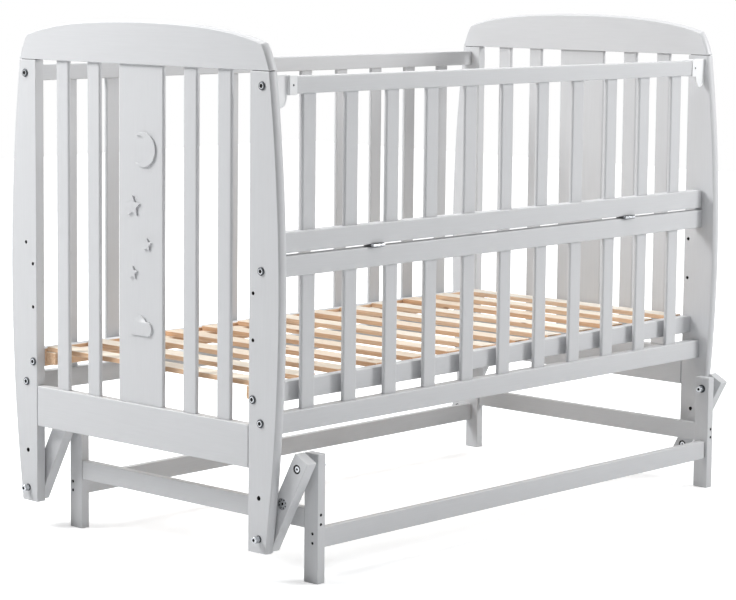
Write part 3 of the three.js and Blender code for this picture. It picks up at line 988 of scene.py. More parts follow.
def publish(
    name: str,
    bm: bmesh.types.BMesh,
    finishes: tuple[Finish, ...],
    datum: Datum,
    *stands_for: str,
) -> bpy.types.Object:
    """Puts a finished piece in the scene, on its body, in place of its CAD nodes.

    Args:
        name: The piece's name.
        bm: Its mesh in millimetres from the datum, which is freed.
        finishes: Its finishes, in the order of the mesh's material numbers.
        datum: What it was measured from.
        stands_for: The CAD nodes that it stands for, the first of which gives its body.

    Returns:
        The piece.
    """
    bm.transform(datum.matrix())
    limit = math.radians(SMOOTH_TURN)
    for edge in bm.edges:
        edge.smooth = len(edge.link_faces) == 2 and edge.calc_face_angle() < limit
    for face in bm.faces:
        face.smooth = True
    mesh = bpy.data.meshes.new(name)
    bm.to_mesh(mesh)
    bm.free()
    for finish in finishes:
        mesh.materials.append(finish.material())
    piece = bpy.data.objects.new(name, mesh)
    bpy.context.scene.collection.objects.link(piece)
    shading = piece.modifiers.new("even_shading", "WEIGHTED_NORMAL")
    shading.keep_sharp = True
    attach(piece, BODY_OF[stands_for[0]])
    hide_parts(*stands_for)
    LOG.info("%s: %d faces on %s", name, len(mesh.polygons), BODY_OF[stands_for[0]])
    return piece


def lacquer(run: Run) -> tuple[Finish, Finish]:
    """Grey lacquer with its grain along a board's run, and the painted shade of its holes and
    joints.
    """
    return GreyLacquer(run=run), PAINTED_HOLE_SHADE


@dataclass
class CribEnd:
    """One end of the crib: two legs, an arched cap, a bottom rail, slats and a wide panel."""

    end: str
    side: int
    foot_width: float = 43.0
    top_width: float = 46.5
    swell_height: float = 415.0
    cap_rise: float = 74.5
    shoulder_rise: float = 45.5
    shoulder_inset: float = 21.0
    bulge_share: tuple = (0.6, 0.84)
    arch_share: float = 0.72
    curve_steps: int = 14
    shoulder_steps: int = 10
    crown: float = 3.0
    leg_ease: float = 1.2
    rail_ease: float = 2.0
    slat_ease: float = 3.5
    hole_radius: float = 3.2
    lock_hole_radius: float = 4.0
    spare_heights: tuple = (356.0, 434.0)
    lock_line: float = 295.0
    lock_height: float = 93.2
    joint_gap: float = 1.3
    joint_depth: float = 3.0
    tenon_reach: float = 2.0
    inner_x: float = field(init=False)
    outer_x: float = field(init=False)
    opening: float = field(init=False)
    swell: float = field(init=False)
    height: float = field(init=False)

    def __post_init__(self) -> None:
        """Reads the legs' reach from the CAD model."""
        low, high = CRIB.span(f"{self.end}_leg_back")
        self.inner_x, self.outer_x = side_reach((low, high))
        self.opening, self.swell, self.height = low.y, high.y, high.z

    def build(self) -> None:
        """Builds every piece of this end."""
        for name, across in SIDES:
            self.build_leg(name, across)
        self.build_cap()
        self.build_boards()

    def leg_outline(self) -> Outline:
        """A leg is widest at mid height, and its outer edge is two flat curves.

        Returns:
            The outline across and up.
        """
        foot = (self.opening + self.foot_width, 0)
        top = (self.opening + self.top_width, self.height - self.joint_gap / 2)
        middle = (self.swell, self.swell_height)
        pulls = (self.swell_height / 2, (self.swell_height + self.height) / 2)
        outline = [(self.opening, 0), foot]
        outline += curve(foot, (self.swell, pulls[0]), middle, self.curve_steps)
        outline += curve(middle, (self.swell, pulls[1]), top, self.curve_steps)
        return outline + [(self.opening, top[1])]

    def open_holes(self, name: str) -> list[Bore]:
        """The holes of a leg that no bolt fills: spare bed heights and the lock bolt's.

        Args:
            name: Front or back.

        Returns:
            The holes, on the side of +X and +Y.
        """
        reach = (self.inner_x - 1, self.outer_x + 1)
        holes = [Bore(BED_BOLT_LINE, z, self.hole_radius, *reach) for z in self.spare_heights]
        if name == "back":
            holes.append(Bore(RAIL_BOLT_LINE, MIDDLE_BOLT_HEIGHT, self.hole_radius, *reach))
        holes.append(Bore(self.lock_line, self.lock_height, self.lock_hole_radius, *reach))
        return holes

    def build_leg(self, name: str, across: int) -> None:
        """Builds one leg.

        Args:
            name: Front or back.
            across: The leg's side, along Y.
        """
        leg = cut_out(self.leg_outline(), self.inner_x, self.outer_x, 0)
        crowned(leg, self.crown, lambda normal: normal.y > FACING)
        eased(leg, sharp_edges(leg), self.leg_ease)
        leg = placed(drilled(leg, self.open_holes(name)), flip=(self.side, across, 1))
        node = f"{self.end}_leg_{name}"
        publish(f"{self.end}_{name}_leg_board", leg, lacquer(Run.ALONG_Z), CRIB, node)

    def build_cap(self) -> None:
        """Builds the cap, which carries the legs' curve up into a shallow arch."""
        low, _ = CRIB.span(f"{self.end}_end_cap")
        base, half = low.z, self.opening + self.top_width
        underside = base + self.joint_gap / 2
        shoulder = (half - self.shoulder_inset, base + self.shoulder_rise)
        inward, upward = self.bulge_share
        bulge = (half - inward * self.shoulder_inset, base + upward * self.shoulder_rise)
        crown = (0, base + self.cap_rise)
        arch = (self.arch_share * shoulder[0], crown[1])
        right = curve((half, underside), bulge, shoulder, self.shoulder_steps)
        right += curve(shoulder, arch, crown, self.curve_steps)
        left = [(-y, z) for y, z in reversed(right[:-1])]
        outline = [(-half, underside), (half, underside), *right, *left]
        cap = cut_out(outline, self.inner_x, self.outer_x, 0)
        crowned(cap, self.crown, lambda normal: normal.z > -FACING)
        eased(cap, sharp_edges(cap), self.leg_ease)
        cap = placed(joined(cap, *self.tenons(underside, half)), flip=(self.side, 1, 1))
        publish(f"{self.end}_arched_cap", cap, lacquer(Run.ALONG_Y), CRIB, f"{self.end}_end_cap")

    def tenons(self, base: float, half: float) -> list[bmesh.types.BMesh]:
        """The tenons, drawn in painted shade, that close the open joints between the cap and the
        legs.

        Args:
            base: Underside of the cap.
            half: Half the cap's length.

        Returns:
            One tenon for each leg.
        """
        inset, reach = self.joint_depth, self.tenon_reach
        parts = []
        for _, across in SIDES:
            start, end = sorted(
                (across * (self.opening + inset), across * (half - self.crown - inset))
            )
            tenon = block(
                Vector((self.inner_x + inset, start, base - reach)),
                Vector((self.outer_x - inset, end, base + reach)),
            )
            # Painted shade: each tenon takes the near-black lining
            parts.append(finished(tenon, 1))
        return parts

    def build_boards(self) -> None:
        """Builds the bottom rail, the wide panel and the four narrow slats."""
        rail = f"{self.end}_end_rail"
        rail_board = tenoned(*CRIB.span(rail), self.rail_ease, Run.ALONG_Y)
        publish(f"{rail}_board", rail_board, lacquer(Run.ALONG_Y), CRIB, rail)
        slats = [f"end_slat_{name}_{row}" for name, _ in SIDES for row in ("inner", "outer")]
        for suffix in ("end_panel", *slats):
            node = f"{self.end}_{suffix}"
            upright = round_edged(*CRIB.span(node), self.slat_ease, Run.ALONG_Z)
            publish(f"{node}_board", upright, lacquer(Run.ALONG_Z), CRIB, node)


@dataclass
class PanelMotifs:
    """The raised shapes on the near panel: a moon, three stars and a cloud, each a cut plate."""

    ease: float = 0.5
    moon_radius: float = 30.0
    bite_share: float = 0.8
    bite_offset_share: float = 0.42
    moon_steps: int = 44
    bite_steps: int = 30
    star_points: int = 5
    star_waist: float = 0.5
    # The cloud's sizes are shares of its largest puff's radius: its whole height, half the
    # width and the depth of its base, and each puff's place across and up and its radius
    cloud_height: float = 2.02
    cloud_base: tuple = (1.15, 0.6)
    puffs: tuple = ((-1.05, 0.1, 0.72), (0, 0.42, 1), (1.1, 0.05, 0.66))
    puff_steps: int = 48
    base_ease: float = 0.01

    def build(self) -> None:
        """Builds the five plates."""
        self.place("motif_moon", self.moon_outline)
        for i in (1, 2, 3):
            self.place(f"motif_star_{i}", self.star_outline)
        self.place_cloud()

    def moon_outline(self, low: Vector, high: Vector) -> Outline:
        """A crescent: most of a disc's rim, and back round the rim of the bite.

        Args:
            low: Lowest corner of the CAD plate.
            high: Its highest corner.

        Returns:
            The outline.
        """
        radius = self.moon_radius
        bite, offset = self.bite_share * radius, self.bite_offset_share * radius
        cross = (radius ** 2 - bite ** 2 + offset ** 2) / (2 * offset)
        tip = math.atan2(math.sqrt(radius ** 2 - cross ** 2), cross)
        tip_of_bite = math.atan2(radius * math.sin(tip), cross - offset)
        middle = (low.y + radius, (low.z + high.z) / 2)
        centre_of_bite = (middle[0] + offset, middle[1])
        outline = []
        for i in range(self.moon_steps + 1):
            angle = tip + (math.tau - 2 * tip) * i / self.moon_steps
            outline.append(self.polar(middle, radius, angle))
        for i in range(1, self.bite_steps):
            angle = -tip_of_bite - (math.tau - 2 * tip_of_bite) * i / self.bite_steps
            outline.append(self.polar(centre_of_bite, bite, angle))
        return outline

    @staticmethod
    def polar(centre: tuple[float, float], radius: float, angle: float) -> tuple[float, float]:
        """The point at an angle and a distance from a centre."""
        return centre[0] + radius * math.cos(angle), centre[1] + radius * math.sin(angle)

    def star_outline(self, low: Vector, high: Vector) -> Outline:
        """A star that fills its CAD plate.

        Args:
            low: Lowest corner of the CAD plate.
            high: Its highest corner.

        Returns:
            The outline.
        """
        step = math.pi / self.star_points
        radius = (high.y - low.y) / (2 * math.cos(step / 2))
        middle = ((low.y + high.y) / 2, high.z - radius)
        outline = []
        for i in range(2 * self.star_points):
            reach = radius * (self.star_waist if i % 2 else 1)
            outline.append(self.polar(middle, reach, math.pi / 2 + i * step))
        return outline

    def place(self, node: str, shape: Callable[[Vector, Vector], Outline]) -> None:
        """Builds one plate from its outline.

        Args:
            node: The CAD plate.
            shape: The function that gives its outline.
        """
        low, high = CRIB.span(node)
        plate = cut_out(shape(low, high), low.x, high.x, self.ease)
        publish(node.replace("motif", "raised"), plate, lacquer(Run.ALONG_Z), CRIB, node)

    def place_cloud(self) -> None:
        """Builds the cloud: three puffs joined to a flat base."""
        node = "motif_cloud"
        low, high = CRIB.span(node)
        unit = (high.z - low.z) / self.cloud_height
        half, depth = (share * unit for share in self.cloud_base)
        middle = Vector((low.x, 0, low.z + depth))
        thick = high.x - low.x
        cloud = board(
            middle + Vector((0, -half, -depth)), middle + Vector((thick, half, 0)),
            self.base_ease,
        )
        for across, up, size in self.puffs:
            rings = ((0, 0), (0, size * unit), (thick, size * unit), (thick, 0))
            at = middle + Vector((0, across * unit, up * unit))
            cloud = worked(cloud, placed(turned(rings, self.puff_steps), at), Cut.JOINED)
        bmesh.ops.dissolve_limit(
            cloud, angle_limit=math.radians(1), verts=cloud.verts, edges=cloud.edges,
        )
        eased(cloud, sharp_edges(cloud), self.ease)
        publish("raised_cloud", cloud, lacquer(Run.ALONG_Z), CRIB, node)


@dataclass
class SlattedSide:
    """A long side: a bottom rail, a top rail and eleven upright slats between them."""

    name: str
    slatted_node: str
    top_node: str
    rail_height: float = 35.0
    slat_width: float = 33.0
    slat_thickness: float = 8.0
    slat_count: int = 11
    rail_ease: float = 2.0
    slat_ease: float = 3.5

    def build(self) -> None:
        """Builds the side."""
        paint = lacquer(Run.ALONG_X)
        low, high = CRIB.span(self.slatted_node)
        rail_top = low.z + self.rail_height
        rail = board(low, Vector((high.x, high.y, rail_top)), self.rail_ease)
        publish(f"{self.name}_bottom_rail_board", rail, paint, CRIB, self.slatted_node)
        top_low, top_high = CRIB.span(self.top_node)
        top = board(top_low, top_high, self.rail_ease)
        publish(f"{self.name}_top_rail_board", top, paint, CRIB, self.top_node)
        self.build_slats((low.y + high.y) / 2, rail_top, top_low.z)

    def build_slats(self, middle_y: float, bottom: float, top: float) -> None:
        """Spaces the slats evenly over the bed's length.

        Args:
            middle_y: The plane that they stand in.
            bottom: Top of the rail below them.
            top: Underside of the rail above them.
        """
        reach = CRIB.span("far_leg_back")[0].x
        gap = (2 * reach - self.slat_count * self.slat_width) / (self.slat_count + 1)
        half = self.slat_thickness / 2
        for i in range(self.slat_count):
            x = -reach + gap + i * (gap + self.slat_width)
            low = Vector((x, middle_y - half, bottom + EXACT_FIT))
            high = Vector((x + self.slat_width, middle_y + half, top - EXACT_FIT))
            slat = round_edged(low, high, self.slat_ease, Run.ALONG_Z)
            name = f"{self.name}_slat_{i + 1:02d}"
            publish(name, slat, lacquer(Run.ALONG_Z), CRIB, self.slatted_node)


@dataclass
class BedBase:
    """The deck: two lacquered rails, two pine battens and thirteen pine slats."""

    node: str = "bed_slats_and_battens"
    slat_count: int = 13
    slat_width: float = 40.0
    slat_thickness: float = 9.0
    slat_inset: float = 3.0
    batten_width: float = 26.0
    rail_ease: float = 1.8
    bare_slope: float = 0.7
    slat_ease: float = 1.2
    staple_span: float = 10.0
    staple_wire: float = 1.2
    staple_sink_share: float = 0.4
    staple_ease: float = 0.2

    def build(self) -> None:
        """Builds the deck."""
        for name, across in SIDES:
            self.build_rail(f"bed_rail_{name}", across)
        low, high = CRIB.span(self.node)
        slat_bottom = high.z - self.slat_thickness
        for name, across in SIDES:
            outer = Vector((high.x, across * high.y, slat_bottom - EXACT_FIT))
            inner = Vector((low.x, across * (high.y - self.batten_width), low.z))
            corners = [Vector(map(pick, outer, inner)) for pick in (min, max)]
            batten = board(*corners, self.slat_ease)
            pine = (BarePine(run=Run.ALONG_X),)
            publish(f"bed_batten_{name}", batten, pine, CRIB, self.node)
        first = low.x + self.slat_inset
        pitch = (high.x - self.slat_inset - self.slat_width - first) / (self.slat_count - 1)
        for i in range(self.slat_count):
            x = first + i * pitch
            start = Vector((x, low.y, slat_bottom))
            self.build_slat(i + 1, start, Vector((x + self.slat_width, high.y, high.z)))

    def build_rail(self, node: str, across: int) -> None:
        """Builds one of the rails that carry the deck, bare pine on its inner face.

        Args:
            node: The rail's node.
            across: Its side along Y.
        """
        rail = board(*CRIB.span(node), self.rail_ease)
        for face in rail.faces:
            if face.normal.y * across < -self.bare_slope:
                face.material_index = 1
        finishes = (GreyLacquer(run=Run.ALONG_X), BarePine(run=Run.ALONG_X))
        publish(f"{node}_board", rail, finishes, CRIB, node)

    def build_slat(self, number: int, low: Vector, high: Vector) -> None:
        """Builds one slat with its staples.

        Args:
            number: Its number, from the near end.
            low: Lowest corner.
            high: Highest corner.
        """
        slat = board(low, high, self.slat_ease)
        publish(f"bed_slat_{number:02d}", slat, (BarePine(),), CRIB, self.node)
        staples = []
        for across in (-1, 1):
            y = across * (high.y - self.batten_width / 2)
            half = Vector((self.staple_span / 2, self.staple_wire / 2, 0))
            middle = Vector(((low.x + high.x) / 2, y, high.z))
            sink = Vector((0, 0, self.staple_sink_share * self.staple_wire))
            staples.append(board(middle - half - sink, middle + half, self.staple_ease))
        publish(f"bed_staples_{number:02d}", joined(*staples), (ZINC,), CRIB, self.node)


@dataclass
class SwingFrame:
    """The floor frame: four posts, two long rails and two end rails, screwed together."""

    ease: float = 1.3
    screw_radius: float = 2.6
    screw_spacing: float = 16.0
    screw_sink: float = 3.0
    screw_head_start: float = 5.0
    screw_hole_depth: float = 6.0

    def build(self) -> None:
        """Builds the frame."""
        for name, _ in SIDES:
            self.build_rail(f"frame_long_rail_{name}", Run.ALONG_X)
        for end, along in ENDS:
            self.build_rail(f"frame_end_rail_{end}", Run.ALONG_Y)
            for name, across in SIDES:
                self.build_post(end, along, name, across)

    def build_rail(self, node: str, run: Run) -> None:
        """Builds one rail on its CAD node.

        Args:
            node: The rail's node.
            run: The way it runs.
        """
        rail = tenoned(*FLOOR_FRAME.span(node), self.ease, run)
        publish(f"{node}_board", rail, lacquer(run), FLOOR_FRAME, node)

    def screw_places(self, end: str, name: str) -> tuple[list[Vector], list[Vector]]:
        """Places of the screws on a post's outer X face and on its outer Y face.

        Args:
            end: Near or far.
            name: Front or back.

        Returns:
            The places on each of the two faces, without the signs of their side.
        """
        long_low, long_high = FLOOR_FRAME.span(f"frame_long_rail_{name}")
        end_low, end_high = FLOOR_FRAME.span(f"frame_end_rail_{end}")
        long_middle, end_middle = (long_low + long_high) / 2, (end_low + end_high) / 2
        steps = (-self.screw_spacing / 2, self.screw_spacing / 2)
        on_x = [Vector((0, abs(long_middle.y), long_middle.z + step)) for step in steps]
        on_y = [Vector((abs(end_middle.x), 0, end_middle.z + step)) for step in steps]
        return on_x, on_y

    def screw(self, at: Vector, run: Run) -> tuple[bmesh.types.BMesh, bmesh.types.BMesh]:
        """Makes one screw hole's drill and the screw's head at the bottom of the hole.

        Args:
            at: Where the hole opens.
            run: The axis that it is drilled along.

        Returns:
            The drill and the head.
        """
        depth, proud, wide = self.screw_hole_depth, 1.0, self.screw_radius
        start, sink, narrow = self.screw_head_start, self.screw_sink, wide - EXACT_FIT
        hole = ((-depth, 0), (-depth, wide), (proud, wide), (proud, 0))
        sunk = ((-start, 0), (-start, narrow), (-sink, narrow), (-sink, 0))
        drill, head = (placed(turned(rings, SCREW_STEPS, run), at) for rings in (hole, sunk))
        return drill, head

    def build_post(self, end: str, along: int, name: str, across: int) -> None:
        """Builds a post with the four sunk screws of its rails.

        Args:
            end: Near or far.
            along: Its side along X.
            name: Front or back.
            across: Its side along Y.
        """
        node = f"post_{end}_{name}"
        low, high = FLOOR_FRAME.span(node)
        size = Vector(max(abs(a), abs(b)) for a, b in zip(low, high))
        near = Vector(min(abs(a), abs(b)) for a, b in zip(low, high))
        near.z, size.z = low.z, high.z
        post = board(near, size, self.ease)
        on_x, on_y = self.screw_places(end, name)
        pairs = [self.screw(Vector((size.x, at.y, at.z)), Run.ALONG_X) for at in on_x]
        pairs += [self.screw(Vector((at.x, size.y, at.z)), Run.ALONG_Y) for at in on_y]
        drills, heads = zip(*pairs)
        post = worked(post, joined(*drills))
        # Painted shade: the walls of the screw holes get the dark bore finish
        for face in post.faces:
            middle = face.calc_center_median()
            depth_x = min(middle.x - near.x, size.x - middle.x)
            depth_y = min(middle.y - near.y, size.y - middle.y)
            if min(depth_x, depth_y) > self.ease and near.z + 1 < middle.z < size.z - 1:
                face.material_index = 1
        flip = (along, across, 1)
        post = placed(post, flip=flip)
        publish(f"{node}_board", post, lacquer(Run.ALONG_Z), FLOOR_FRAME, node)
        # Painted shade: the sunk screw heads are drawn near black
        screws = placed(joined(*heads), flip=flip)
        publish(f"{node}_screws", screws, (NEAR_BLACK_PAINTED_SHADE,), FLOOR_FRAME, node)


@dataclass
class SwingArm:
    """One arm between the floor frame and the crib, with the nut of the lock bolt in it."""

    end: str
    along: int
    name: str
    across: int
    width: float = 33.0
    end_length: float = 21.0
    corner: float = 2.4
    ease: float = 1.3
    seat_radius: float = 7.9
    seat_depth: float = 5.6
    lock_drop: float = 71.0
    lock_radius: float = 3.4
    nut_radius: float = 10.0
    nut_depth: float = 1.6
    nut_play: float = 0.3
    nut_flange: float = 1.3
    nut_ease: float = 0.3
    nut_bore_share: float = 0.8
    notch_count: int = 8
    notch_share: tuple = (0.56, 0.9)
    notch_half_width: float = 1.5
    blind_wall: float = 6.0

    def build(self) -> None:
        """Builds the arm upright about its upper pivot, then tilts it to its rest."""
        node = f"arm_{self.end}_{self.name}"
        inner, outer = side_reach(FLOOR_FRAME.span(node))
        top = sum(FLOOR_FRAME.span(f"upper_pivot_{self.end}_{self.name}"), Vector()) / 2
        bottom = sum(FLOOR_FRAME.span(f"lower_pivot_{self.end}_{self.name}"), Vector()) / 2
        hang = bottom - top
        spacing = hang.yz.length
        tilt = Matrix.Rotation(math.atan2(hang.y, -hang.z), 4, "X")
        mirror = Matrix.Diagonal((self.along, 1, 1, 1))
        place = Matrix.Translation((0, top.y, top.z)) @ tilt @ mirror
        half, head = self.width / 2, self.end_length
        outline = [(-half, -spacing - head), (half, -spacing - head), (half, head), (-half, head)]
        arm = self.rounded_board(outline, inner, outer)
        front = self.name == "front"
        seat = (outer - self.nut_depth, outer + 1) if front else (inner - 1, inner + self.nut_depth)
        lock_end = outer + 1 if front else outer - self.blind_wall
        bores = [
            Bore(0, 0, self.seat_radius, outer - self.seat_depth, outer + 1),
            Bore(0, -spacing, self.seat_radius, inner - 1, inner + self.seat_depth),
            Bore(0, -self.lock_drop, self.nut_radius, *seat),
            Bore(0, -self.lock_drop, self.lock_radius, inner - 1, lock_end),
        ]
        arm = drilled(arm, bores[:3])
        arm = drilled(arm, bores[3:])
        arm.transform(place)
        if self.along < 0:
            bmesh.ops.reverse_faces(arm, faces=arm.faces)
        publish(f"{node}_board", arm, lacquer(Run.ALONG_Z), FLOOR_FRAME, node)
        nut = self.lock_nut()
        face = outer - self.nut_depth if front else inner + self.nut_depth
        turn = Matrix.Diagonal((1 if front else -1, 1, 1, 1))
        nut.transform(place @ Matrix.Translation((face, 0, -self.lock_drop)) @ turn)
        bmesh.ops.recalc_face_normals(nut, faces=nut.faces)
        publish(f"{node}_lock_nut", nut, (DULL_ZINC,), FLOOR_FRAME, node)

    def rounded_board(self, outline: Outline, inner: float, outer: float) -> bmesh.types.BMesh:
        """Saws the arm out and rounds its four corners, then its rims.

        Args:
            outline: Its four corners.
            inner: Inner face along X.
            outer: Outer face along X.

        Returns:
            The mesh.
        """
        arm = cut_out(outline, inner, outer, 0)
        corners = [e for e in arm.edges if abs(e.verts[0].co.x - e.verts[1].co.x) > 1]
        eased(arm, corners, self.corner, 4)
        eased(arm, sharp_edges(arm, 60), self.ease)
        return arm

    def lock_nut(self) -> bmesh.types.BMesh:
        """Makes a pressed-in nut: a flange with a bore, and notches round its face.

        Returns:
            The mesh, with its back at the origin.
        """
        nut = ring(
            self.lock_radius * self.nut_bore_share, self.nut_radius - self.nut_play, 0,
            self.nut_flange, self.nut_ease,
        )
        start, end = (share * self.nut_radius for share in self.notch_share)
        half = self.notch_half_width
        notches = []
        for i in range(self.notch_count):
            notch = board(Vector((-1, start, -half)), Vector((3, end, half)), self.nut_ease)
            notch.transform(Matrix.Rotation(math.tau * i / self.notch_count, 4, "X"))
            notches.append(notch)
        return worked(nut, joined(*notches))


@dataclass
class PivotBolt:
    """A pivot's bolt, its spacer sleeve and its cap nut with a washer, all turned about X."""

    level: str
    end: str
    along: int
    name: str
    head_radius: float = 5.4
    head_height: float = 5.0
    head_rim: float = 0.9
    rim_share: float = 0.3
    shank_radius: float = 3.0
    spacer_radius: float = 7.0
    spacer_play: float = 0.1
    spacer_ease: float = 0.5
    nut_radius: float = 6.2
    nut_barrel: float = 5.6
    hexagon_share: float = 0.72
    hexagon_ease: float = 0.5
    nut_collar: float = 5.0
    nut_chamfer: float = 1.2
    chamfer_steps: int = 4
    collar_share: float = 0.95
    collar_overlap: float = 0.5
    drill_radius: float = 3.0
    drill_depth: float = 3.2
    washer_thickness: float = 1.4
    washer_ease: float = 0.3
    upper_washer_radius: float = 8.0
    lower_washer_radius: float = 6.5
    socket_radius: float = 2.3
    socket_depth: float = 2.4
    gap: float = 0.3

    def build(self) -> None:
        """Builds the bolt, its sleeve and its nut."""
        node = f"{self.level}_pivot_{self.end}_{self.name}"
        low, high = FLOOR_FRAME.span(node)
        middle = (low + high) / 2
        inner, outer = side_reach((low, high))
        arm_inner, arm_outer = side_reach(FLOOR_FRAME.span(f"arm_{self.end}_{self.name}"))
        if self.level == "upper":
            _, post_outer = side_reach(FLOOR_FRAME.span(f"post_{self.end}_{self.name}"))
            start, direction = outer, -1
            spacer_start, spacer_end = start - arm_inner, start - post_outer
            washer_radius = self.upper_washer_radius
        else:
            leg_inner, _ = side_reach(FLOOR_FRAME.span(f"{self.end}_leg_{self.name}"))
            start, direction = inner, 1
            spacer_start, spacer_end = arm_outer - start, leg_inner - start
            washer_radius = self.lower_washer_radius
        place = Matrix.Translation((0, middle.y, middle.z)) @ Matrix.Diagonal((self.along, 1, 1, 1))
        place = place @ Matrix.Translation((start, 0, 0)) @ Matrix.Diagonal((direction, 1, 1, 1))
        length = outer - inner
        nut_start = length - self.nut_collar - self.nut_barrel
        spacer = ring(
            self.shank_radius + self.spacer_play, self.spacer_radius, spacer_start + self.gap,
            spacer_end - self.gap, self.spacer_ease,
        )
        nut = self.cap_nut(nut_start, length, washer_radius)
        pieces = {
            "bolt": (self.bolt(nut_start), (ZINC, NEAR_BLACK_PAINTED_SHADE)),
            "spacer": (spacer, (ZINC,)),
            "cap_nut": (nut, (ZINC, NEAR_BLACK_PAINTED_SHADE, ZINC_IN_PAINTED_SHADE)),
        }
        for suffix, (piece, finishes) in pieces.items():
            piece.transform(place)
            bmesh.ops.recalc_face_normals(piece, faces=piece.faces)
            publish(f"{node}_{suffix}", piece, finishes, FLOOR_FRAME, node)

    @staticmethod
    def socketed(
        body: bmesh.types.BMesh, face: float, depth: float, radius: float,
    ) -> bmesh.types.BMesh:
        """Cuts a hexagonal socket into a turned piece and paints shade into it, near black.

        Args:
            body: The piece, which is freed.
            face: Where the socket opens along X.
            depth: How deep it goes, signed along X.
            radius: Out to the socket's corners.

        Returns:
            The new mesh.
        """
        inward = math.copysign(1, depth)
        whole = worked(body, hexagon(radius, face - inward, face + depth))
        # Painted shade: the socket's walls and floor take the near-black finish
        for item in whole.faces:
            middle = item.calc_center_median()
            below = (middle.x - face) * inward
            if middle.yz.length < radius and EXACT_FIT < below < abs(depth) + EXACT_FIT:
                item.material_index = 1
        return whole

    def bolt(self, nut_start: float) -> bmesh.types.BMesh:
        """Makes a cylinder head with a rounded rim, its socket and the shank.

        Args:
            nut_start: Where the cap nut starts, just past the shank's end.

        Returns:
            The mesh.
        """
        head, rim, end = self.head_radius, self.head_rim, nut_start - self.gap
        corner = rim * self.rim_share
        rings = [
            (0, 0), (0, head - rim), (corner, head - corner), (rim, head),
            (self.head_height, head), (self.head_height, self.shank_radius),
            (end, self.shank_radius), (end, 0),
        ]
        return self.socketed(turned(rings), 0, self.socket_depth, self.socket_radius)

    def cap_nut(self, start: float, end: float, washer_radius: float) -> bmesh.types.BMesh:
        """Makes a washer, a hexagon and a round collar whose end is drilled. The washer is drawn in
        dark zinc as painted shade.

        Args:
            start: Where the hexagon starts.
            end: End of the collar.
            washer_radius: Radius of the washer below it.

        Returns:
            The mesh.
        """
        washer = ring(
            self.shank_radius, washer_radius, start - self.washer_thickness, start,
            self.washer_ease,
        )
        seam = start + self.nut_barrel * self.hexagon_share
        barrel = hexagon(self.nut_radius, start, seam, self.hexagon_ease)
        base, radius = seam - self.collar_overlap, self.nut_radius * self.collar_share
        chamfer = self.nut_chamfer
        rings = [(base, 0), (base, radius), (end - chamfer, radius)]
        rings += rounded_end(end - chamfer, end, radius, radius - chamfer, self.chamfer_steps)
        rings.append((end, 0))
        collar = self.socketed(turned(rings), end, -self.drill_depth, self.drill_radius)
        # Painted shade: the washer under the hexagon is drawn in dark zinc
        return joined(finished(washer, 2), barrel, collar)


@dataclass
class SocketBolts:
    """The bolts through the legs into the rails: low heads with a hexagonal socket."""

    head_radius: float = 7.3
    face_radius: float = 5.0
    head_height: float = 2.6
    rim_height: float = 0.5
    rim_steps: int = 5
    round_steps: int = 36
    socket_radius: float = 3.8
    socket_depth: float = 2.2
    top_height: float = 775.5
    lower_height: float = 219.0
    bed_height: float = 257.0

    def build(self) -> None:
        """Builds the bolts of all four legs. Only a front leg has one at the middle."""
        for end, along in ENDS:
            for name, across in SIDES:
                heights = [("top", self.top_height), ("lower", self.lower_height)]
                if name == "front":
                    heights.insert(1, ("middle", MIDDLE_BOLT_HEIGHT))
                places = [(label, RAIL_BOLT_LINE, z) for label, z in heights]
                places.append(("bed", BED_BOLT_LINE, self.bed_height))
                for label, y, z in places:
                    self.build_bolt(f"{end}_leg_{name}", label, Vector((along, across * y, z)))

    def build_bolt(self, node: str, label: str, place: Vector) -> None:
        """Builds one bolt on the outer face of a leg.

        Args:
            node: The leg's node.
            label: Which of the leg's bolts it is.
            place: The sign of its side along X, then its place across and up.
        """
        _, face = side_reach(CRIB.span(node))
        height, rim = self.head_height, self.rim_height
        rings = [(0, 0), (0, self.head_radius), (rim, self.head_radius)]
        rings += rounded_end(rim, height, self.head_radius, self.face_radius, self.rim_steps)
        rings.append((height, 0))
        socket = hexagon(self.socket_radius, height - self.socket_depth, height + 1)
        body = worked(turned(rings, self.round_steps), socket)
        # Painted shade: the socket is drawn near black, and the head's turned flank in dark zinc as
        # painted shade and a painted dark reflection
        for item in body.faces:
            middle = item.calc_center_median()
            if middle.yz.length < self.socket_radius and middle.x < height - EXACT_FIT:
                item.material_index = 2
            elif middle.yz.length > self.face_radius:
                item.material_index = 1
        placed(body, (place.x * face, place.y, place.z), (place.x, 1, 1))
        publish(f"{node}_{label}_bolt", body, (ZINC, ZINC_IN_PAINTED_SHADE, NEAR_BLACK_PAINTED_SHADE), CRIB, node)


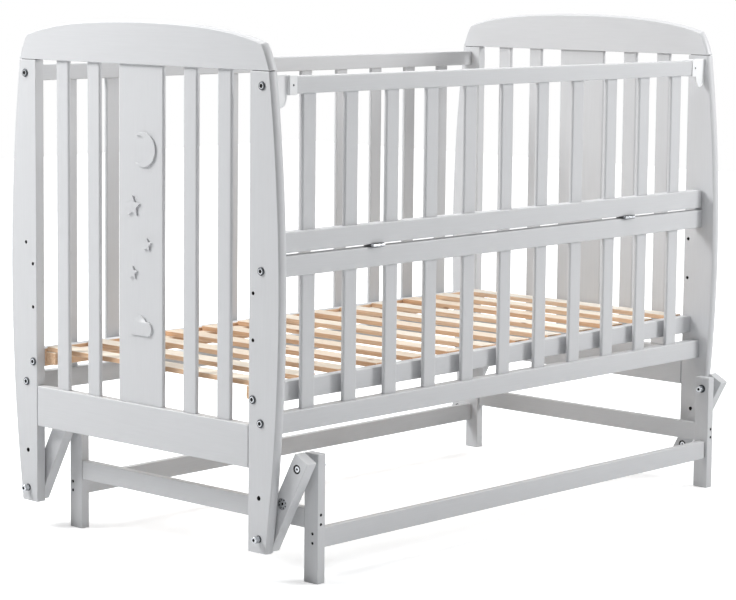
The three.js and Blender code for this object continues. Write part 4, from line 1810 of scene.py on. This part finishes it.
@dataclass
class Latch:
    """A keeper on the leg and a cap on the end of the gate's top rail, in white plastic."""

    end: str
    along: int
    ease: float = 1.4
    keeper_thickness: float = 4.0
    keeper_ease: float = 0.7
    flange_width: float = 4.0
    flange_height: float = 30.0
    rim: float = 2.4
    dish: float = 0.8
    corner: float = 3.0
    corner_steps: int = 4
    arch_share: float = 0.4
    belly_share: float = 0.15
    arch_steps: int = 10
    play: float = 0.5
    cap_wall: float = 1.7
    pocket_ease: float = 0.3
    screw_radius: float = 1.9
    screw_face_share: float = 0.7
    # Depths of the screw's underside, rim and face, from just behind the cap's front
    screw_levels: tuple = (0.4, -0.1, -0.25)
    screw_seat: float = 0.1

    def build(self) -> None:
        """Builds the keeper and the cap."""
        self.build_keeper()
        self.build_cap()

    def keeper_outline(self, low: Vector, high: Vector, inset: float) -> Outline:
        """A keeper hangs down in a pointed arch.

        Args:
            low: Lowest corner, for +X.
            high: Highest corner.
            inset: How far in from its rim the outline runs.

        Returns:
            The outline across and up.
        """
        x0, x1 = low.x + inset, high.x - inset
        top, bottom = high.z - inset, low.z + inset
        middle = (x0 + x1) / 2
        arch = bottom + self.arch_share * (high.z - low.z)
        belly = bottom + self.belly_share * (arch - bottom)
        tip, below = (middle, bottom), top - self.corner
        outline = [(x0, arch), *curve((x0, arch), (x0, belly), tip, self.arch_steps)]
        outline += curve(tip, (x1, belly), (x1, arch), self.arch_steps)
        corners = (
            ((x1, below), (x1, top), (x1 - self.corner, top)),
            ((x0 + self.corner, top), (x0, top), (x0, below)),
        )
        for start, pull, end in corners:
            outline += [start, *curve(start, pull, end, self.corner_steps)]
        return outline

    def build_keeper(self) -> None:
        """Builds the keeper: a dished shield beside the cap, and the flange on the leg."""
        node = f"latch_keeper_{self.end}"
        low, high = CRIB.span(node)
        _, high.x = side_reach((low, high))
        _, cap_end = side_reach(CRIB.span(f"latch_cap_{self.end}"))
        low.x = cap_end + self.play
        flange_low = Vector((
            high.x - self.flange_width, low.y + self.keeper_thickness / 2,
            high.z - self.flange_height,
        ))
        body = cut_out(
            self.keeper_outline(low, high, 0), low.y, low.y + self.keeper_thickness,
            self.keeper_ease, Run.ALONG_Y,
        )
        dish = cut_out(
            self.keeper_outline(low, high, self.rim), low.y - 1, low.y + self.dish, 0, Run.ALONG_Y,
        )
        body = worked(body, dish)
        flange = board(flange_low, high - Vector((0, 0, self.corner)), self.keeper_ease)
        body = placed(worked(body, flange, Cut.JOINED), flip=(self.along, 1, 1))
        publish(f"{node}_moulding", body, (WHITE_PLASTIC,), CRIB, node)

    def build_cap(self) -> None:
        """Builds the sleeve on the rail's end, with its small screw."""
        node = f"latch_cap_{self.end}"
        low, high = CRIB.span(node)
        low.x, high.x = side_reach((low, high))
        wall = self.cap_wall
        pocket = board(
            low + Vector((-2, wall, wall)), high - Vector((wall, wall, wall)), self.pocket_ease,
        )
        sleeve = placed(worked(board(low, high, self.ease), pocket), flip=(self.along, 1, 1))
        publish(f"{node}_moulding", sleeve, (WHITE_PLASTIC,), CRIB, node)
        radius = self.screw_radius
        back, rim, front = self.screw_levels
        rings = (
            (back, 0), (back, radius), (rim, radius), (front, radius * self.screw_face_share),
            (front, 0),
        )
        middle = (low + high) / 2
        at = (middle.x * self.along, low.y + self.screw_seat, middle.z)
        screw = placed(turned(rings, SCREW_STEPS, Run.ALONG_Y), at)
        # Painted shade: the small sunk screw is drawn in dark zinc
        publish(f"{node}_screw", screw, (ZINC_IN_PAINTED_SHADE,), CRIB, node)


@dataclass
class GateHinge:
    """A butt hinge in the seam below the gate: a leaf on each side and three knuckles."""

    end: str
    length: float = 29.0
    knuckle_radius: float = 3.6
    shade_slope: float = 0.5
    pin_radius: float = 1.6
    pin_play: float = 0.1
    pin_rim: float = 0.4
    leaf_thickness: float = 1.4
    leaf_ease: float = 0.3
    leaf_gap: float = 0.3
    neck_share: float = 0.75
    neck_reach: float = 1.5
    neck_ease: float = 0.2
    knuckle_gap: float = 0.6
    knuckle_ease: float = 0.4

    def build(self) -> None:
        """Builds the fixed leaf with the pin, and the gate's leaf."""
        fixed, moving = f"hinge_fixed_leaf_{self.end}", f"hinge_gate_leaf_{self.end}"
        low, high = CRIB.span(fixed)
        middle = (low.x + high.x) / 2
        low.x, high.x = middle - self.length / 2, middle + self.length / 2
        third = self.length / 3
        _, moving_high = CRIB.span(moving)
        axis = Vector((0, low.y + self.knuckle_radius, low.z + self.knuckle_radius))
        cuts = (low.x, low.x + third, high.x - third, high.x)
        outer = [(cuts[0], cuts[1] - self.knuckle_gap), (cuts[2] + self.knuckle_gap, cuts[3])]
        front = axis.y + self.knuckle_radius
        leaf_bottom = CRIB.span("lower_front_top_rail")[1].z + self.leaf_gap
        leaf = [board(
            Vector((low.x, front, leaf_bottom)),
            Vector((high.x, high.y, leaf_bottom + self.leaf_thickness)), self.leaf_ease,
        )]
        leaf += [self.neck(axis, x0, x1, leaf_bottom) for x0, x1 in outer]
        # Painted shade: the leaf and its necks, which lie in the seam, are drawn in dark zinc
        leaf = [finished(part, 1) for part in leaf]
        leaf += [self.barrel(axis, x0, x1) for x0, x1 in outer]
        leaf.append(self.pin(axis, low.x, high.x))
        publish(f"{fixed}_plate", joined(*leaf), (ZINC, ZINC_IN_PAINTED_SHADE), CRIB, fixed)
        leaf_top = CRIB.span("gate_slats_and_bottom_rail")[0].z - self.leaf_gap
        plate = board(
            Vector((low.x, front, leaf_top - self.leaf_thickness)),
            Vector((high.x, moving_high.y, leaf_top)), self.leaf_ease,
        )
        neck = self.neck(axis, cuts[1], cuts[2], leaf_top - self.leaf_thickness)
        # Painted shade: this leaf and its neck, in the seam, are drawn in dark zinc
        gate_leaf = [finished(part, 1) for part in (plate, neck)]
        gate_leaf.append(self.barrel(axis, cuts[1], cuts[2]))
        publish(f"{moving}_plate", joined(*gate_leaf), (ZINC, ZINC_IN_PAINTED_SHADE), CRIB, moving)

    def barrel(self, axis: Vector, start: float, end: float) -> bmesh.types.BMesh:
        """Makes a rolled knuckle, with painted shade in dark zinc where it turns up or down into
        the seam.

        Args:
            axis: A point on the hinge's axis.
            start: Where the knuckle starts along X.
            end: Where it ends.

        Returns:
            The mesh.
        """
        bore = self.pin_radius + self.pin_play
        knuckle = ring(bore, self.knuckle_radius, start, end, self.knuckle_ease)
        knuckle.normal_update()
        # Painted shade: the facets that face up or down into the seam get the dark zinc
        for face in knuckle.faces:
            if abs(face.normal.z) > self.shade_slope:
                face.material_index = 1
        return placed(knuckle, (0, axis.y, axis.z))

    def neck(self, axis: Vector, start: float, end: float, bottom: float) -> bmesh.types.BMesh:
        """Makes the short strip that joins a knuckle to its leaf.

        Args:
            axis: A point on the hinge's axis.
            start: Where the strip starts along X.
            end: Where it ends.
            bottom: Underside of the leaf.

        Returns:
            The mesh.
        """
        radius = self.knuckle_radius
        low = Vector((start, axis.y + radius * self.neck_share, bottom))
        high = Vector((end, axis.y + radius + self.neck_reach, bottom + self.leaf_thickness))
        return board(low, high, self.neck_ease)

    def pin(self, axis: Vector, start: float, end: float) -> bmesh.types.BMesh:
        """Makes the pin through all three knuckles, with bevelled ends.

        Args:
            axis: A point on the hinge's axis.
            start: Where the pin starts along X.
            end: Where it ends.

        Returns:
            The mesh.
        """
        radius, rim = self.pin_radius, self.pin_rim
        rings = (
            (start, 0), (start, radius - rim), (start + rim, radius), (end - rim, radius),
            (end, radius - rim), (end, 0),
        )
        return placed(turned(rings, SCREW_STEPS), (0, axis.y, axis.z))


@dataclass
class Studio:
    """A pale floor, soft lamps, a plain white surround and the camera, placed in metres."""

    floor_size: float = 14.0
    floor_colours: tuple = ("#EDEEEF", "#F1F2F3")
    mottle_size: float = 1 / 3
    floor_glow: float = 0.5
    glow_start: float = 1.3
    glow_end: float = 3.2
    surround: float = 0.10
    focal_mm: float = 124.43
    sensor_mm: float = 36.0
    shift: tuple = (0.0451, -0.0687)
    place: tuple = (-3.55388, -3.19448, 1.02579)
    heading: float = 46.81
    dip: float = -6.456
    roll: float = 0.482
    clip_end: float = 60.0
    lamp_aim: tuple = (0.0, 0.0, 0.45)
    # Each bank's name, place, width and power in watts
    banks: tuple = (
        ("near_end_bank", (-2.0, 1.6, 2.3), 1.2, 81.0),
        ("far_front_bank", (2.0, -2.4, 1.8), 0.9, 58.0),
        ("overhead_bank", (0.0, 0.0, 3.8), 3.0, 92.0),
    )

    def build(self) -> None:
        """Builds the studio round the crib."""
        scene = bpy.context.scene
        scene.view_settings.view_transform = "Standard"
        self.build_floor()
        self.build_world(scene)
        self.build_lamps()
        self.build_camera(scene)

    @staticmethod
    def seen_white(tree: bpy.types.NodeTree) -> bpy.types.Node:
        """Tells the rays that show a background: from the camera, a mirror or clear glass.

        Args:
            tree: The node tree that it goes into.

        Returns:
            A node whose value is one for those rays and zero for the others.
        """
        path = add_node(tree, "ShaderNodeLightPath")
        both = add_node(
            tree, "ShaderNodeMath", {"operation": "ADD"},
            {0: path.outputs["Is Camera Ray"], 1: path.outputs["Is Glossy Ray"]},
        )
        return add_node(
            tree, "ShaderNodeMath", {"operation": "ADD", "use_clamp": True},
            {0: both.outputs["Value"], 1: path.outputs["Is Transmission Ray"]},
        )

    def build_floor(self) -> None:
        """Builds the floor: matt and pale, and white to the camera but for the crib's shadow."""
        material, tree, output = new_tree("matt_pale_studio_floor")
        place = add_node(tree, "ShaderNodeTexCoord").outputs["Object"]
        mottle = add_node(
            tree, "ShaderNodeTexNoise", {"Scale": 1 / self.mottle_size}, {"Vector": place}
        )
        tone = add_node(
            tree, "ShaderNodeValToRGB", links={"Fac": mottle.outputs["Fac"]},
            stops=zip(NOISE_REACH, self.floor_colours),
        )
        matt = add_node(
            tree, "ShaderNodeBsdfDiffuse", {"Roughness": 0.9}, {"Color": tone.outputs["Color"]}
        )
        distance = add_node(tree, "ShaderNodeVectorMath", {"operation": "LENGTH"}, {0: place})
        cove = add_node(
            tree, "ShaderNodeMapRange",
            {"From Min": self.glow_start, "From Max": self.glow_end, "To Min": self.floor_glow},
            {"Value": distance.outputs["Value"]},
        )
        glow = add_node(tree, "ShaderNodeEmission", links={"Strength": cove.outputs["Result"]})
        both = add_node(
            tree, "ShaderNodeAddShader",
            links={0: matt.outputs["BSDF"], 1: glow.outputs["Emission"]},
        )
        shown = add_node(
            tree, "ShaderNodeMixShader",
            links={
                0: self.seen_white(tree).outputs["Value"], 1: matt.outputs["BSDF"],
                2: both.outputs["Shader"],
            },
        )
        tree.links.new(shown.outputs["Shader"], output.inputs["Surface"])
        bm = bmesh.new()
        bmesh.ops.create_grid(bm, x_segments=1, y_segments=1, size=self.floor_size / 2)
        mesh = bpy.data.meshes.new("studio_floor")
        bm.to_mesh(mesh)
        bm.free()
        mesh.materials.append(material)
        floor = bpy.data.objects.new("studio_floor", mesh)
        bpy.context.scene.collection.objects.link(floor)

    def build_world(self, scene: bpy.types.Scene) -> None:
        """Builds the surround: white where it is seen, and a lower even light otherwise.

        Args:
            scene: The scene.
        """
        world = bpy.data.worlds.new("white_studio")
        world.use_nodes = True
        tree = world.node_tree
        tree.nodes.clear()
        output = tree.nodes.new("ShaderNodeOutputWorld")
        level = add_node(
            tree, "ShaderNodeMapRange", {"To Min": self.surround, "To Max": 1.0},
            {"Value": self.seen_white(tree).outputs["Value"]},
        )
        light = add_node(
            tree, "ShaderNodeBackground", {"Color": (1, 1, 1, 1)},
            {"Strength": level.outputs["Result"]},
        )
        tree.links.new(light.outputs["Background"], output.inputs["Surface"])
        scene.world = world

    def build_lamps(self) -> None:
        """Builds a bank at the near end, one at the far front and one overhead."""
        for name, place, size, watts in self.banks:
            light = bpy.data.lights.new(name, "AREA")
            light.shape = "SQUARE"
            light.size = size
            light.energy = watts
            lamp = bpy.data.objects.new(name, light)
            bpy.context.scene.collection.objects.link(lamp)
            aim = Vector(self.lamp_aim) - Vector(place)
            turn = aim.to_track_quat("-Z", "Y").to_matrix().to_4x4()
            lamp.matrix_world = Matrix.Translation(place) @ turn

    def build_camera(self, scene: bpy.types.Scene) -> None:
        """Builds the camera at the photograph's viewpoint.

        Args:
            scene: The scene.
        """
        data = bpy.data.cameras.new("studio_camera")
        data.lens = self.focal_mm
        data.sensor_width = self.sensor_mm
        data.sensor_fit = "HORIZONTAL"
        data.shift_x, data.shift_y = self.shift
        data.clip_end = self.clip_end
        camera = bpy.data.objects.new("studio_camera", data)
        scene.collection.objects.link(camera)
        heading, dip, roll = map(math.radians, (self.heading, self.dip, self.roll))
        forward = Vector((
            math.sin(heading) * math.cos(dip), math.cos(heading) * math.cos(dip), math.sin(dip),
        ))
        right = Vector((math.cos(heading), -math.sin(heading), 0))
        upward = right.cross(forward)
        level = Matrix((right, upward, -forward)).transposed()
        turn = Matrix.Rotation(roll, 3, "Z")
        camera.matrix_world = Matrix.Translation(self.place) @ (level @ turn).to_4x4()
        scene.camera = camera


def main() -> None:
    """Builds the crib piece by piece, then the studio."""
    logging.basicConfig(level=logging.INFO, format="%(name)s: %(message)s")
    for end, along in ENDS:
        CribEnd(end, along).build()
        Latch(end, along).build()
        GateHinge(end).build()
        for name, across in SIDES:
            SwingArm(end, along, name, across).build()
            PivotBolt("upper", end, along, name).build()
            PivotBolt("lower", end, along, name).build()
    PanelMotifs().build()
    SlattedSide("back", "back_slats_and_bottom_rail", "back_top_rail").build()
    SlattedSide("lower_front", "lower_front_slats_and_bottom_rail", "lower_front_top_rail").build()
    SlattedSide("gate", "gate_slats_and_bottom_rail", "gate_top_rail").build()
    BedBase().build()
    SwingFrame().build()
    SocketBolts().build()
    Studio().build()


if __name__ == "__main__":
    main()
